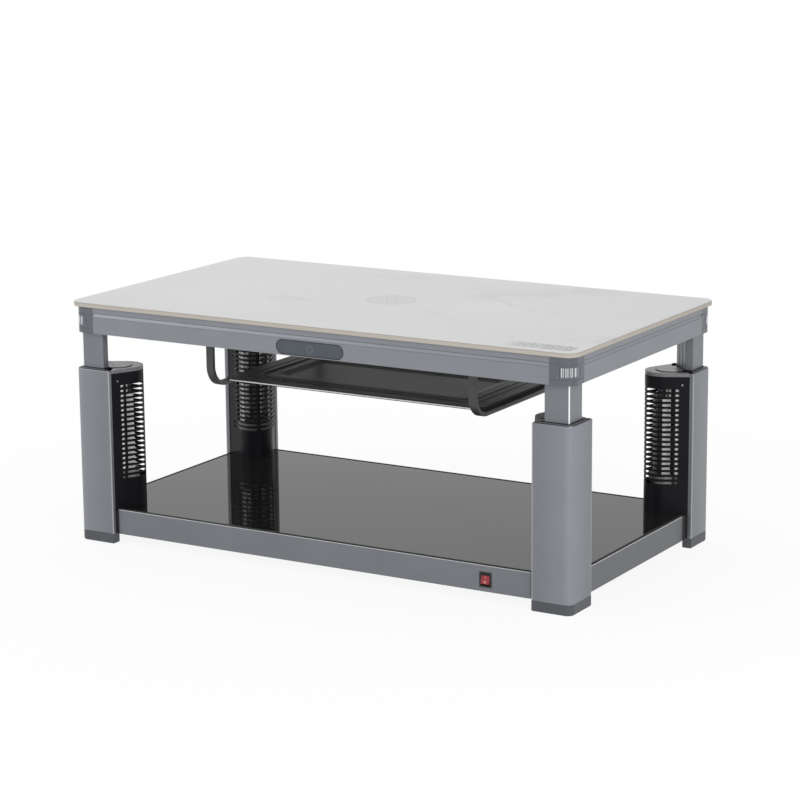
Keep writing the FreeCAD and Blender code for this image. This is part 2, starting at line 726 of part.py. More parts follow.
def pan_rib(centre, half_y, top):
    """One hat rib across the pan."""
    half = PAN_RIB_WIDTH / 2
    low = top - PAN_RIB_HEIGHT
    outer = box((centre - half, -half_y, low), (centre + half, half_y, top))
    hollow = box((centre - half + PAN_SHEET, -half_y, low + PAN_SHEET), (centre + half - PAN_SHEET, half_y, top))
    return outer.cut(hollow)


def rail_middle():
    """Height of the middle of the rail's front face below its lip."""
    return (RAIL_LOW + GLASS_LOW) / 2


def rail_face():
    """Y of the front rail's outer face."""
    return RAIL_INSET - CORNER_Y


def switch_opening():
    """Window in the front wall of the front rail."""
    half_x = SWITCH_BODY_WIDTH / 2 + SEAT_GAP
    half_z = SWITCH_BODY_HEIGHT / 2 + SEAT_GAP
    middle = rail_middle()
    front = rail_face()
    return box((SWITCH_X - half_x, front - OVERRUN, middle - half_z),
               (SWITCH_X + half_x, front + RAIL_WALL, middle + half_z))


def switch_housing():
    """Flanged housing that clips into the rail and holds the rocker's pins."""
    front = rail_face()
    middle = rail_middle()
    half_x = SWITCH_WIDTH / 2
    half_z = SWITCH_HEIGHT / 2
    flange = box((SWITCH_X - half_x, front - SWITCH_FLANGE, middle - half_z),
                 (SWITCH_X + half_x, front, middle + half_z))
    half_x = SWITCH_BODY_WIDTH / 2
    half_z = SWITCH_BODY_HEIGHT / 2
    body = box((SWITCH_X - half_x, front, middle - half_z),
               (SWITCH_X + half_x, front + SWITCH_BODY_DEPTH, middle + half_z))
    half_x = SWITCH_CAVITY_WIDTH / 2
    half_z = ROCKER_RADIUS + SLIDE_GAP
    cavity = box((SWITCH_X - half_x, front - OVERRUN, middle - half_z),
                 (SWITCH_X + half_x, front + SWITCH_CAVITY_DEPTH, middle + half_z))
    pins = rocker_pins(ROCKER_PIN_RADIUS + BEARING_GAP, ROCKER_PIN_LENGTH + SEAT_GAP)
    return flange.fuse(body).removeSplitter().cut([cavity, pins])


def rocker_pins(radius, length):
    """Pivot pin through the rocker, standing out by length on each side."""
    half = SWITCH_CAVITY_WIDTH / 2 + length - SLIDE_GAP
    start = vec(SWITCH_X - half, rail_face() + ROCKER_PIVOT_DEPTH, rail_middle())
    return Part.makeCylinder(radius, 2 * half, start, vec(1, 0, 0))


def switch_rocker():
    """Rocker with a dished face, its upper half pressed in."""
    half = SWITCH_CAVITY_WIDTH / 2 - SLIDE_GAP
    pivot_y = rail_face() + ROCKER_PIVOT_DEPTH
    middle = rail_middle()
    stand = ROCKER_PIVOT_DEPTH + ROCKER_CREST
    crest = pivot_y - stand
    turn = math.radians(ROCKER_TILT_DEG)
    run = math.sqrt(ROCKER_RADIUS ** 2 - (stand * math.cos(turn)) ** 2) - stand * math.sin(turn)
    front = crest - run * math.sin(turn)
    reach = run * math.cos(turn)
    back = pivot_y + ROCKER_BACK
    shoulder = ROCKER_RADIUS * ROCKER_BACK_SHARE
    outline = [(crest, 0), (front, reach), (pivot_y, ROCKER_RADIUS), (back, shoulder),
               (back, -shoulder), (pivot_y, -ROCKER_RADIUS), (front, -reach)]
    ring = [vec(SWITCH_X - half, y, middle + z) for y, z in outline]
    rocker = tube(ring, [], vec(2 * half, 0, 0))
    rocker = rocker.fuse(rocker_pins(ROCKER_PIN_RADIUS, ROCKER_PIN_LENGTH))
    rocker.rotate(vec(SWITCH_X, pivot_y, middle), vec(1, 0, 0), -ROCKER_TILT_DEG)
    return rocker


def inlet_box(width, height, near, far):
    """Block centred on the inlet, between two depths ahead of the rear rail's outer face."""
    back = CORNER_Y - RAIL_INSET
    middle = rail_middle()
    return box((INLET_X - width / 2, back - far, middle - height / 2),
               (INLET_X + width / 2, back - near, middle + height / 2))


def inlet_opening():
    """Window in the outer wall of the rear rail."""
    return inlet_box(INLET_BODY_WIDTH + 2 * SEAT_GAP, INLET_BODY_HEIGHT + 2 * SEAT_GAP, -OVERRUN, RAIL_WALL)


def power_inlet():
    """Flanged inlet with three blades in a cavity that has two cut corners."""
    flange = inlet_box(INLET_WIDTH, INLET_HEIGHT, -INLET_FLANGE, 0)
    body = inlet_box(INLET_BODY_WIDTH, INLET_BODY_HEIGHT, 0, INLET_BODY_DEPTH)
    floor = INLET_BODY_DEPTH - INLET_FLOOR
    half_x = INLET_BODY_WIDTH / 2 - INLET_WALL
    half_z = INLET_BODY_HEIGHT / 2 - INLET_WALL
    start = CORNER_Y - RAIL_INSET - floor
    middle = rail_middle()
    corners = [(-half_x, -half_z), (half_x, -half_z), (half_x, half_z - INLET_KEY),
               (half_x - INLET_KEY, half_z), (INLET_KEY - half_x, half_z), (-half_x, half_z - INLET_KEY)]
    ring = [vec(INLET_X + x, start, middle + z) for x, z in corners]
    cavity = tube(ring, [], vec(0, floor + INLET_FLANGE, 0))
    shell = flange.fuse(body).cut(cavity)
    blades = []
    for x, z in ((-BLADE_PITCH, -BLADE_RAISE), (0, BLADE_RAISE), (BLADE_PITCH, -BLADE_RAISE)):
        blade = inlet_box(BLADE_WIDTH, BLADE_HEIGHT, BLADE_SHORT, floor)
        blade.translate(vec(x, 0, z))
        blades.append(blade)
    return shell.multiFuse(blades)


def control_box():
    """Closed electronics box, fixed to the rear frame tube under the stone."""
    back = CORNER_Y - COLUMN_NEAR
    half = CONTROL_LENGTH / 2
    top = STONE_LOW - CONTROL_EDGE
    body = box((-half, back - CONTROL_DEPTH, top - CONTROL_HEIGHT), (half, back, top))
    sides = [e for e in body.Edges if abs(e.CenterOfMass.y - back) > BEARING_GAP]
    return body.makeChamfer(CONTROL_EDGE / 2, sides)


def hanger_bar():
    """Left bar, bent into a wide U between two points of a cross tube."""
    x = -HANGER_X - HANGER_WIDTH / 2
    outer = HANGER_BEND
    inner = HANGER_BEND - HANGER_THICK
    turn_y = HANGER_REACH - HANGER_BEND
    turn_z = HANGER_LOW + HANGER_BEND
    slant = 1 / math.sqrt(2)
    edges = []
    for radius in (outer, inner):
        side = turn_y + radius
        low = turn_z - radius
        for sign in (-1, 1):
            top = vec(x, sign * side, FRAME_LOW)
            bend = vec(x, sign * side, turn_z)
            mid = vec(x, sign * (turn_y + radius * slant), turn_z - radius * slant)
            end = vec(x, sign * turn_y, low)
            edges += [Part.makeLine(top, bend), Part.Arc(bend, mid, end).toShape()]
        edges.append(Part.makeLine(vec(x, -turn_y, low), vec(x, turn_y, low)))
    for sign in (-1, 1):
        edges.append(Part.makeLine(vec(x, sign * (turn_y + outer), FRAME_LOW),
                                   vec(x, sign * (turn_y + inner), FRAME_LOW)))
    outline = Part.Wire(Part.__sortEdges__(edges))
    bar = Part.Face(outline).extrude(vec(HANGER_WIDTH, 0, 0))
    return bar.multiFuse(hanger_ears()).removeSplitter()


def hanger_ears():
    """Flat ears at the ends of the bar, which lie against the cross tube."""
    ears = []
    inner = HANGER_REACH - HANGER_THICK
    half = HANGER_WIDTH / 2
    for sign in (-1, 1):
        near, far = sorted((sign * inner, sign * (inner - EAR_LENGTH)))
        ears.append(box((-HANGER_X - half, near, FRAME_LOW - EAR_THICK), (-HANGER_X + half, far, FRAME_LOW)))
    return ears


def tray_layer(inset, corner, low, high):
    """Rounded block of the tray's outline, set in from its edge."""
    seat = HANGER_LOW + HANGER_THICK
    return rounded_plate(TRAY_LENGTH / 2 - inset, TRAY_DEPTH / 2 - inset, corner, seat + low, seat + high)


def tray():
    """Pressed sheet tray with a stepped border, on the flat of the two bars."""
    lip = TRAY_LIP
    sheet = TRAY_SHEET
    step_top = lip - TRAY_STEP
    upper = tray_layer(0, TRAY_CORNER, 0, lip)
    upper = upper.cut(tray_layer(TRAY_STEP_INSET, TRAY_WELL_CORNER + TRAY_CORNER, step_top, lip))
    upper = upper.cut(tray_layer(TRAY_WELL_INSET, TRAY_WELL_CORNER, sheet, lip))
    under = tray_layer(sheet, TRAY_CORNER - sheet, 0, step_top - sheet)
    well = tray_layer(TRAY_WELL_INSET - sheet, TRAY_WELL_CORNER + sheet, 0, lip)
    return upper.cut(under.cut(well))


def pieces_at_legs():
    """Pieces that have a node of their own at each leg."""
    nodes = {}
    for name, maker in (("leg_casing", leg_casing), ("column", column)):
        shape = maker()
        for leg, sides in LEGS.items():
            nodes[name + "_" + leg] = at_leg(shape, *sides)
    return nodes


def groups_at_legs():
    """Pieces whose four copies share one node."""
    return {"feet": at_all_legs(foot()),
            "leg_collars": at_all_legs(leg_collar()),
            "heater_caps": at_all_legs(heater_cap()),
            "heater_guards": at_all_legs(heater_guard()),
            "terminal_boxes": at_all_legs(terminal_box()),
            "heater_sockets": at_all_legs(Part.makeCompound(heater_sockets())),
            "heating_tubes": at_all_legs(heating_tube()),
            "heat_reflectors": at_all_legs(heat_reflector()),
            "lift_drives": at_all_legs(lift_drive()),
            "lift_rods": at_all_legs(lift_rod()),
            "column_shoes": at_all_legs(Part.makeCompound(column_shoes())),
            "corner_brackets": at_all_legs(corner_bracket())}


def single_pieces():
    """Pieces that occur once, or once on each side."""
    left_bar = hanger_bar()
    nodes = {"stone_top": stone_top(), "apron_front": front_apron(), "apron_rear": rear_apron(),
             "control_panel": control_panel(), "top_frame": top_frame(), "control_box": control_box(),
             "rail_connectors": rail_connectors(), "shelf_glass": shelf_glass(), "base_pan": base_pan(),
             "switch_housing": switch_housing(), "switch_rocker": switch_rocker(),
             "power_inlet": power_inlet(), "tray": tray(), "hanger_left": left_bar,
             "hanger_right": left_bar.mirror(ORIGIN, vec(1, 0, 0))}
    nodes.update(side_aprons())
    nodes.update(base_rails())
    return nodes


def main():
    os.makedirs("parts", exist_ok=True)
    nodes = {}
    nodes.update(pieces_at_legs())
    nodes.update(groups_at_legs())
    nodes.update(single_pieces())
    for name, shape in sorted(nodes.items()):
        if not shape.isValid():
            print("not valid:", name)
        shape.exportStep(os.path.join("parts", name + ".step"))
    print(len(nodes), "nodes written")


main()
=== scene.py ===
import json
import math

import bmesh
import bpy
from bpy.props import FloatProperty, FloatVectorProperty, IntProperty, PointerProperty
from mathutils import Matrix, Vector


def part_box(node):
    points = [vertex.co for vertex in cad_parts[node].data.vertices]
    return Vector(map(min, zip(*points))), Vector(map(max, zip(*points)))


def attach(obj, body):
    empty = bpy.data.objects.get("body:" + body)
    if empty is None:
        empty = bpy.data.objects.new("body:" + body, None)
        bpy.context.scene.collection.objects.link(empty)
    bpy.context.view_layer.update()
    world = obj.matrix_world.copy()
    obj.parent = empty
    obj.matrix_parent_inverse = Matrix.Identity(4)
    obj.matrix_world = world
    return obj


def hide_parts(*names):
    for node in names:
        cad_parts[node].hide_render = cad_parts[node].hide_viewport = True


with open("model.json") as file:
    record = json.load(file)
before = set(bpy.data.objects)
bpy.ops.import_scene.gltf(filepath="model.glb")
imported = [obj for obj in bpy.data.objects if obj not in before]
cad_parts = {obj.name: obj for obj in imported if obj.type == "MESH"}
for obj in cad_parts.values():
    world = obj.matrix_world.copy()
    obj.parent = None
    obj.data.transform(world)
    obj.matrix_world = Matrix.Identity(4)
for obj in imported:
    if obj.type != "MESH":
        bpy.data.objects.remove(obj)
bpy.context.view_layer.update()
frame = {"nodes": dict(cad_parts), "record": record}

bl_info = {
    "name": "Heated lifting table",
    "version": (1, 0, 0),
    "blender": (4, 5, 0),
    "location": "3D View > Sidebar > Heated table",
    "description": "Dresses the packed heated table: stone top, profiles, heater guards, tray and switch",
    "category": "Object",
}

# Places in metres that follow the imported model
STONE_LOW, STONE_HIGH = (corner.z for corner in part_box("stone_top"))
LEG_X, LEG_Y, CASING_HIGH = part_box("leg_casing_rear_right")[1]
APRON_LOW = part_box("apron_front")[0].z
GUARD_LOW, GUARD_HIGH = (corner.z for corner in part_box("heater_guards"))
RAIL_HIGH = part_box("base_rail_front")[1].z
COLLAR_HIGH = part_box("leg_collars")[1].z

# Reaches in metres within which two places count as one
NEAR = 1e-4
MERGE_REACH = 1e-5
TINY = 1e-6

# Each leg's side along X and along Y. A piece of a leg is modelled inward from the leg's outer corner.
LEGS = {"front_left": (-1, -1), "front_right": (1, -1), "rear_right": (1, 1), "rear_left": (-1, 1)}

# The axis along which each side's profile runs
SIDES = {"front": "x", "rear": "x", "left": "y", "right": "y"}


# Modelling helpers

def clear_selection():
    """Back to object mode with nothing selected."""
    if bpy.context.mode != "OBJECT":
        bpy.ops.object.mode_set(mode="OBJECT")
    bpy.ops.object.select_all(action="DESELECT")


def take_up(piece):
    """Select one piece and make it the active one."""
    clear_selection()
    piece.select_set(True)
    bpy.context.view_layer.objects.active = piece


def begin_edit(piece, action="DESELECT"):
    """Edit mode, with nothing or everything selected."""
    take_up(piece)
    bpy.ops.object.mode_set(mode="EDIT")
    bpy.ops.mesh.select_all(action=action)


def end_edit():
    bpy.ops.object.mode_set(mode="OBJECT")


def choose(piece, kind, test):
    """In edit mode, select only the verts, edges or faces that pass a test."""
    mode = {"verts": "VERT", "edges": "EDGE", "faces": "FACE"}[kind]
    bpy.ops.mesh.select_mode(type=mode)
    bpy.ops.mesh.select_all(action="DESELECT")
    shape = bmesh.from_edit_mesh(piece.data)
    for item in getattr(shape, kind):
        if test(item):
            item.select_set(True)
    shape.select_flush_mode()
    bmesh.update_edit_mesh(piece.data)


def middle(item):
    """Middle of an edge or a face."""
    corners = [v.co for v in item.verts]
    return sum(corners, Vector()) / len(corners)


def run_of(edge):
    """Direction of an edge."""
    return (edge.verts[1].co - edge.verts[0].co).normalized()


def is_level(edge):
    return abs(run_of(edge).z) < 0.5


def at_height(edge, height):
    return all(abs(v.co.z - height) < TINY for v in edge.verts)


def stands_at(edge, place):
    """True for an upright edge over a place."""
    return all((v.co.xy - place.xy).length < NEAR for v in edge.verts)


def extrude(run):
    """In edit mode, extrude what is selected."""
    bpy.ops.mesh.extrude_region_move(TRANSFORM_OT_translate={"value": run})


def ease(piece, test, width, segments=1):
    """Bevel the edges of a piece that pass a test."""
    begin_edit(piece)
    choose(piece, "edges", test)
    bpy.ops.mesh.bevel(offset=width, segments=segments)
    end_edit()


def named(name):
    """Name the piece that was just added, and its mesh."""
    piece = bpy.context.object
    piece.name = name
    piece.data.name = name
    return piece


def block(name, low, high):
    """Cube stretched between two corners, to be shaped further."""
    clear_selection()
    centre = [(a + b) / 2 for a, b in zip(low, high)]
    size = [b - a for a, b in zip(low, high)]
    bpy.ops.mesh.primitive_cube_add(size=1, location=centre, scale=size)
    settle(bpy.context.object)
    return named(name)


def cylinder(name, sides, radius, low, high, across=0, deep=0):
    """Upright cylinder between two heights, to be shaped further."""
    clear_selection()
    bpy.ops.mesh.primitive_cylinder_add(vertices=sides, radius=radius, depth=high - low,
                                        location=(across, deep, (low + high) / 2))
    settle(bpy.context.object)
    return named(name)


def upright(name, near, far, low, high):
    """Upright sheet between two places, to be shaped further."""
    run, centre = far - near, (near + far) / 2
    clear_selection()
    bpy.ops.mesh.primitive_plane_add(size=1, location=(centre.x, centre.y, (low + high) / 2),
                                     rotation=(math.pi / 2, 0, math.atan2(run.y, run.x)))
    bpy.context.object.scale = (run.length, high - low, 1)
    settle(bpy.context.object)
    return named(name)


def settle(piece):
    """Put a piece's place, turn and scale into its mesh."""
    take_up(piece)
    bpy.ops.object.transform_apply(location=True, rotation=True, scale=True)


def apply_modifier(piece, kind, **settings):
    """Add one modifier, set it and apply it."""
    take_up(piece)
    bpy.ops.object.modifier_add(type=kind)
    modifier = piece.modifiers[-1]
    for key, value in settings.items():
        setattr(modifier, key, value)
    bpy.ops.object.modifier_apply(modifier=modifier.name)


def smooth(piece, degrees=30):
    """Smooth shading across edges that turn less than an angle."""
    take_up(piece)
    bpy.ops.object.shade_smooth_by_angle(angle=math.radians(degrees))


def round_sharp(piece, width, segments=2, degrees=50):
    """Round the edges of a piece that turn more than an angle."""
    apply_modifier(piece, "BEVEL", width=width, segments=segments, limit_method="ANGLE",
                   angle_limit=math.radians(degrees))


def weigh_normals(piece):
    """Keep a piece's flat faces flat in the light."""
    apply_modifier(piece, "WEIGHTED_NORMAL", weight=60, keep_sharp=True)


def merge_points(piece, reach=MERGE_REACH):
    """Merge the points of a piece that lie within a reach."""
    begin_edit(piece, "SELECT")
    bpy.ops.mesh.remove_doubles(threshold=reach)
    end_edit()


def face_out(piece):
    """Turn all faces of a closed or half-open shape outward."""
    begin_edit(piece, "SELECT")
    bpy.ops.mesh.normals_make_consistent(inside=False)
    end_edit()


def copy_of(piece, name):
    """Copy with its own mesh."""
    clear_selection()
    twin = piece.copy()
    twin.data = piece.data.copy()
    twin.name = twin.data.name = name
    bpy.context.scene.collection.objects.link(twin)
    return twin


def drop(piece):
    """Delete a piece that was only a tool."""
    bpy.data.objects.remove(piece, do_unlink=True)


def join(pieces, name):
    """Several pieces made into one."""
    clear_selection()
    for piece in pieces:
        piece.select_set(True)
    bpy.context.view_layer.objects.active = pieces[0]
    bpy.ops.object.join()
    return named(name)


def put(piece, name, place, facing):
    """Copy of a piece that stands on the origin facing up, put at a place and turned another way."""
    twin = copy_of(piece, name)
    twin.location = place
    twin.rotation_euler = Vector(facing).to_track_quat("Z", "Y").to_euler()
    settle(twin)
    return twin


def leg_place(leg, across, deep, height):
    """Place that is given inward from a leg's outer corner."""
    side_x, side_y = LEGS[leg]
    return side_x * (LEG_X - across), side_y * (LEG_Y - deep), height


def leg_way(leg, across, deep):
    """Direction that is given inward from a leg's outer corner."""
    side_x, side_y = LEGS[leg]
    return -side_x * across, -side_y * deep, 0


def at_legs(piece, name):
    """One copy at each leg of a piece that is modelled inward from a leg's outer corner."""
    copies = []
    for leg, (side_x, side_y) in LEGS.items():
        twin = copy_of(piece, name + "_" + leg)
        twin.scale = (-side_x, -side_y, 1)
        twin.location = (side_x * LEG_X, side_y * LEG_Y, 0)
        settle(twin)
        face_out(twin)
        smooth(twin)
        weigh_normals(twin)
        copies.append(twin)
    drop(piece)
    return copies


def guard_flank(sizes):
    """Lip end and nose end of a guard's flat flank, and the nose's angle where they meet."""
    tip = Vector((sizes.side, sizes.lip, 0))
    centre = Vector((sizes.nose_centre, sizes.nose_centre, 0))
    reach = tip - centre
    turn = math.atan2(reach.y, reach.x) + math.acos(sizes.nose_radius / reach.length)
    foot = centre + sizes.nose_radius * Vector((math.cos(turn), math.sin(turn), 0))
    return tip, foot, turn


def guard_middle(sizes):
    """Way along a guard's sheet from a lip to the middle of its nose."""
    tip, foot, turn = guard_flank(sizes)
    return (foot - tip).length + sizes.nose_radius * (math.pi / 4 - turn)


def guard_point(along, sizes):
    """Place and direction on a guard's sheet, a way along it from the lip."""
    tip, foot, turn = guard_flank(sizes)
    run = foot - tip
    if along < run.length:
        return tip + along * run.normalized(), run.normalized()
    turn += (along - run.length) / sizes.nose_radius
    out = Vector((math.cos(turn), math.sin(turn), 0))
    centre = Vector((sizes.nose_centre, sizes.nose_centre, 0))
    return centre + sizes.nose_radius * out, Vector((-out.y, out.x, 0))


def guard_strip(name, sizes, low, high):
    """Upright strip along a guard's outline: one flank, the nose spun from its end, and the other flank."""
    tip, foot, turn = guard_flank(sizes)
    strip = upright(name, tip, foot, low, high)
    begin_edit(strip)
    choose(strip, "edges", lambda edge: stands_at(edge, foot))
    bpy.ops.mesh.spin(steps=sizes.steps, angle=2 * turn - math.pi / 2, axis=(0, 0, 1),
                      center=(sizes.nose_centre, sizes.nose_centre, 0))
    choose(strip, "edges", lambda edge: stands_at(edge, foot.yxz))
    extrude((tip.y - foot.y, tip.x - foot.x, 0))
    end_edit()
    return strip


def cut_through(place, normal):
    """In edit mode, cut the whole mesh along a plane."""
    bpy.ops.mesh.select_all(action="SELECT")
    bpy.ops.mesh.bisect(plane_co=place, plane_no=normal)


def column_room(gap, low, high):
    """Block as large as a column with a gap round it, to cut its hole with."""
    sizes = bpy.context.scene.table_guard
    near = sizes.column_near - gap
    far = sizes.column_far + gap
    cut = sizes.column_far - sizes.column_chamfer / 2 + gap / math.sqrt(2)
    room = block("column_room", (near, near, low), (far, far, high))
    begin_edit(room, "SELECT")
    bpy.ops.mesh.bisect(plane_co=(cut, cut, 0), plane_no=(math.sqrt(0.5), math.sqrt(0.5), 0), use_fill=True,
                        clear_outer=True)
    end_edit()
    face_out(room)
    return room


def cut_away(piece, cutter):
    """Cut a closed tool out of a closed piece, and delete the tool."""
    apply_modifier(piece, "BOOLEAN", operation="DIFFERENCE", solver="EXACT", object=cutter)
    drop(cutter)


def screw_head(name, radius, height):
    """Pan head with a round recess, standing on the origin."""
    head = cylinder(name, 20, radius, 0, height)
    ease(head, lambda edge: at_height(edge, height), 0.5 * height, 3)
    begin_edit(head)
    choose(head, "faces", lambda face: face.normal.z > 0.99)
    bpy.ops.mesh.inset(thickness=0.35 * radius)
    extrude((0, 0, -0.5 * height))
    end_edit()
    smooth(head, 35)
    return head


def dress(piece, body, finish, replaces=()):
    """Finish and body of a finished piece, and the CAD nodes that it stands for."""
    piece.data.materials.clear()
    piece.data.materials.append(FINISHES[finish])
    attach(piece, body)
    for node in replaces:
        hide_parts(node)


def worked_copy(node, name, width):
    """Merged copy of a CAD node's mesh with its sharp edges rounded."""
    clear_selection()
    piece = bpy.data.objects.new(name, frame["nodes"][node].data.copy())
    piece.data.name = name
    bpy.context.scene.collection.objects.link(piece)
    begin_edit(piece, "SELECT")
    bpy.ops.mesh.remove_doubles(threshold=TINY)
    bpy.ops.mesh.dissolve_limited(angle_limit=math.radians(0.5))
    end_edit()
    take_up(piece)
    bpy.ops.mesh.customdata_custom_splitnormals_clear()
    round_sharp(piece, width, degrees=30)
    smooth(piece, 60)
    weigh_normals(piece)
    return piece


# Shader helpers

class Value:
    """A shader socket that can be used in Python expressions."""

    def __init__(self, graph, socket):
        self.graph = graph
        self.socket = socket

    def maths(self, operation, *others):
        return self.graph.node("Math", dict(enumerate((self, *others))), operation=operation)

    def __add__(self, other):
        return self.maths("ADD", other)

    __radd__ = __add__

    def __mul__(self, other):
        return self.maths("MULTIPLY", other)

    def __sub__(self, other):
        return self.maths("SUBTRACT", other)

    def __rsub__(self, other):
        return self.graph.node("Math", {0: other, 1: self}, operation="SUBTRACT")

    def __truediv__(self, other):
        return self.maths("DIVIDE", other)

    def __abs__(self):
        return self.maths("ABSOLUTE")

    def __lt__(self, other):
        return self.maths("LESS_THAN", other)

    def __gt__(self, other):
        return self.maths("GREATER_THAN", other)

    def step(self, low, high):
        """Smooth rise from 0 at low to 1 at high."""
        return self.graph.node("MapRange", {0: self, 1: low, 2: high}, interpolation_type="SMOOTHSTEP")


class Graph:
    """The nodes of a material or a world."""

    def __init__(self, owner):
        owner.use_nodes = True
        self.tree = owner.node_tree
        self.tree.nodes.clear()

    def node(self, kind, inputs, output=0, **settings):
        """Any node: its settings first, then the values or links of its sockets."""
        made = self.tree.nodes.new("ShaderNode" + kind)
        for key, value in settings.items():
            setattr(made, key, value)
        for key, value in inputs.items():
            self.join(made.inputs[key], value)
        return Value(self, made.outputs[output]) if made.outputs else None

    def join(self, socket, value):
        if isinstance(value, Value):
            self.tree.links.new(value.socket, socket)
        elif hasattr(socket.default_value, "__len__") and len(socket.default_value) == 4:
            socket.default_value = (*value[:3], 1.0)
        else:
            socket.default_value = value

    def seen(self, *rays):
        """1 for light that reaches the camera along one of some kinds of ray."""
        seen, *others = (self.node("LightPath", {}, ray) for ray in rays)
        for other in others:
            seen = seen.maths("MAXIMUM", other)
        return seen

    def show(self, kind, share, low, high):
        """Mix of two shaders as what the material or the world shows."""
        self.node("Output" + kind, {0: self.node("MixShader", {0: share, 1: low, 2: high})})


class Finish(Graph):
    """A material that is made of nodes around one Principled shader."""

    def __init__(self, name, **constants):
        self.material = bpy.data.materials.new(name)
        super().__init__(self.material)
        values = {key.replace("_", " "): value for key, value in constants.items()}
        shader = self.node("BsdfPrincipled", values)
        self.node("OutputMaterial", {0: shader})
        self.inputs = shader.socket.node.inputs
        self.place = self.node("TexCoord", {}, "Object")
        self.x, self.y, self.z = (self.node("SeparateXYZ", {0: self.place}, output) for output in (0, 1, 2))

    def mix(self, share, low, high):
        """Colour between low and high."""
        return self.node("Mix", {0: share, 6: low, 7: high}, 2, data_type="RGBA", clamp_factor=True)

    def mottled(self, share, colour, low, high):
        """Colour between a darker and a lighter tint of itself."""
        return self.mix(share, tinted(colour, low), tinted(colour, high))

    def stretched(self, scale, degrees=0.0):
        """Object coordinates with a scale and a turn about Z."""
        return self.node("Mapping", {0: self.place, 2: (0.0, 0.0, math.radians(degrees)), 3: scale})

    def noise(self, scale, detail, roughness=0.5, place=None):
        return self.node("TexNoise", {"Vector": place or self.place, "Scale": scale, "Detail": detail,
                                      "Roughness": roughness})

    def shine(self, roughness):
        self.join(self.inputs["Roughness"], roughness)

    def colour(self, colour):
        self.join(self.inputs["Base Color"], colour)

    def relief(self, height, distance):
        self.join(self.inputs["Normal"], self.node("Bump", {"Height": height, "Distance": distance}))


def linear(red, green, blue):
    """Colour written as it shows on a screen, 0 to 255, turned into light."""
    def light(part):
        part /= 255
        return part / 12.92 if part <= 0.04045 else ((part + 0.055) / 1.055) ** 2.4
    return light(red), light(green), light(blue)


def tinted(colour, share):
    """Colour made lighter or darker by a share."""
    return tuple(min(part * share, 1.0) for part in colour)


# Finishes

# Scale of a profile's drawing lines along it, and across it
LINES_ALONG, LINES_ACROSS = 14.0, 900.0

# Painted highlights along upright edges: places inward from the leg's outer corner in metres, brightness, and
# reach in metres
PAINTED_CASING_HIGHLIGHTS = ((0, 0.1005, 0.42, 0.0030), (0.1005, 0, 0.42, 0.0030), (0, 0, 0.38, 0.0085))
PAINTED_COLUMN_HIGHLIGHT = ((0.0139, 0.0139, 0.95, 0.0030),)

# Painted highlight near a leg's outer corner and painted shade farther from it: the distances in metres over
# which the highlight fades, and then turns to shade
PAINTED_SHEEN, PAINTED_SHADE = (0.005, 0.028), (0.02, 0.09)

# Painted highlights on the walls of the flutes: distances from the axis of the bracket's corner, and heights
# over its lower edge
FLUTE_AXIS = 0.030
FLUTE_HIGHLIGHT_RADII = (0.0284, 0.02975)
FLUTE_HIGHLIGHT_HEIGHTS = (0.0195, 0.0400)

# Painted highlight along a rail's top edge
HIGHLIGHT_DROP, HIGHLIGHT_FADE = 0.0016, 0.0008


def coated_metal(name, colour, roughness=0.36, metallic=0.35, along="Z", specular=0.5, painted_highlights=(),
                 painted_highlight_from=0.0, flutes=False, painted_sheen=0.0):
    """Satin coated profile: drawing lines along its length, fine sparkle and a soft mottle.

    The coat can carry painted highlights on upright edges, from a height upward and on the walls of the
    corner's flutes, and a painted highlight near the leg's outer corner with painted shade farther from it.
    """
    finish = Finish(name, Metallic=metallic, IOR=1.5, Specular_IOR_Level=specular)
    across = [LINES_ALONG if axis == along else LINES_ACROSS for axis in "XYZ"]
    lines = finish.noise(1.0, 2.0, 0.6, finish.stretched(across))
    sparkle = finish.noise(2600.0, 1.0)
    mottle = finish.noise(9.0, 3.0, 0.55)
    coat = finish.mottled((lines * 0.35 + sparkle * 0.25 + mottle * 0.4).step(0.25, 0.75), colour, 0.92, 1.08)
    far_x, far_y = abs(finish.x), abs(finish.y)
    if painted_sheen:
        # Painted shade away from the leg's outer corner, and a painted highlight close to it
        away = LEG_X - far_x + LEG_Y - far_y
        coat = finish.mix(away.step(*PAINTED_SHADE) * painted_sheen, coat, tinted(colour, 0.7))
        coat = finish.mix((1 - away.step(*PAINTED_SHEEN)) * painted_sheen, coat, tinted(colour, 1.35))
    # Painted highlights: the coat is made lighter along the listed upright edges
    for across, deep, bright, reach in painted_highlights:
        away = abs(LEG_X - across - far_x) + abs(LEG_Y - deep - far_y)
        coat = finish.mix(1 - away.step(0.6 * reach, reach), coat, (bright, bright, bright))
    # Painted highlight: the coat turns pale from a height upward
    if painted_highlight_from:
        coat = finish.mix(finish.z.step(painted_highlight_from, painted_highlight_from + HIGHLIGHT_FADE), coat, (0.6, 0.61, 0.62))
    # Painted highlights on the walls of the corner's flutes
    if flutes:
        across, deep, rise = far_x - (LEG_X - FLUTE_AXIS), far_y - (LEG_Y - FLUTE_AXIS), finish.z - APRON_LOW
        radius = (across * across + deep * deep).maths("SQRT")
        inside = (radius > FLUTE_HIGHLIGHT_RADII[0]) * (radius < FLUTE_HIGHLIGHT_RADII[1]) * (across > 0) * (deep > 0)
        inside = inside * (rise > FLUTE_HIGHLIGHT_HEIGHTS[0]) * (rise < FLUTE_HIGHLIGHT_HEIGHTS[1])
        coat = finish.mix(inside, coat, (0.7, 0.71, 0.73))
    finish.colour(coat)
    finish.shine(lines * 0.10 + mottle * 0.08 + (roughness - 0.09))
    finish.relief(lines * 0.5 + sparkle * 0.5, 0.00003)
    return finish.material


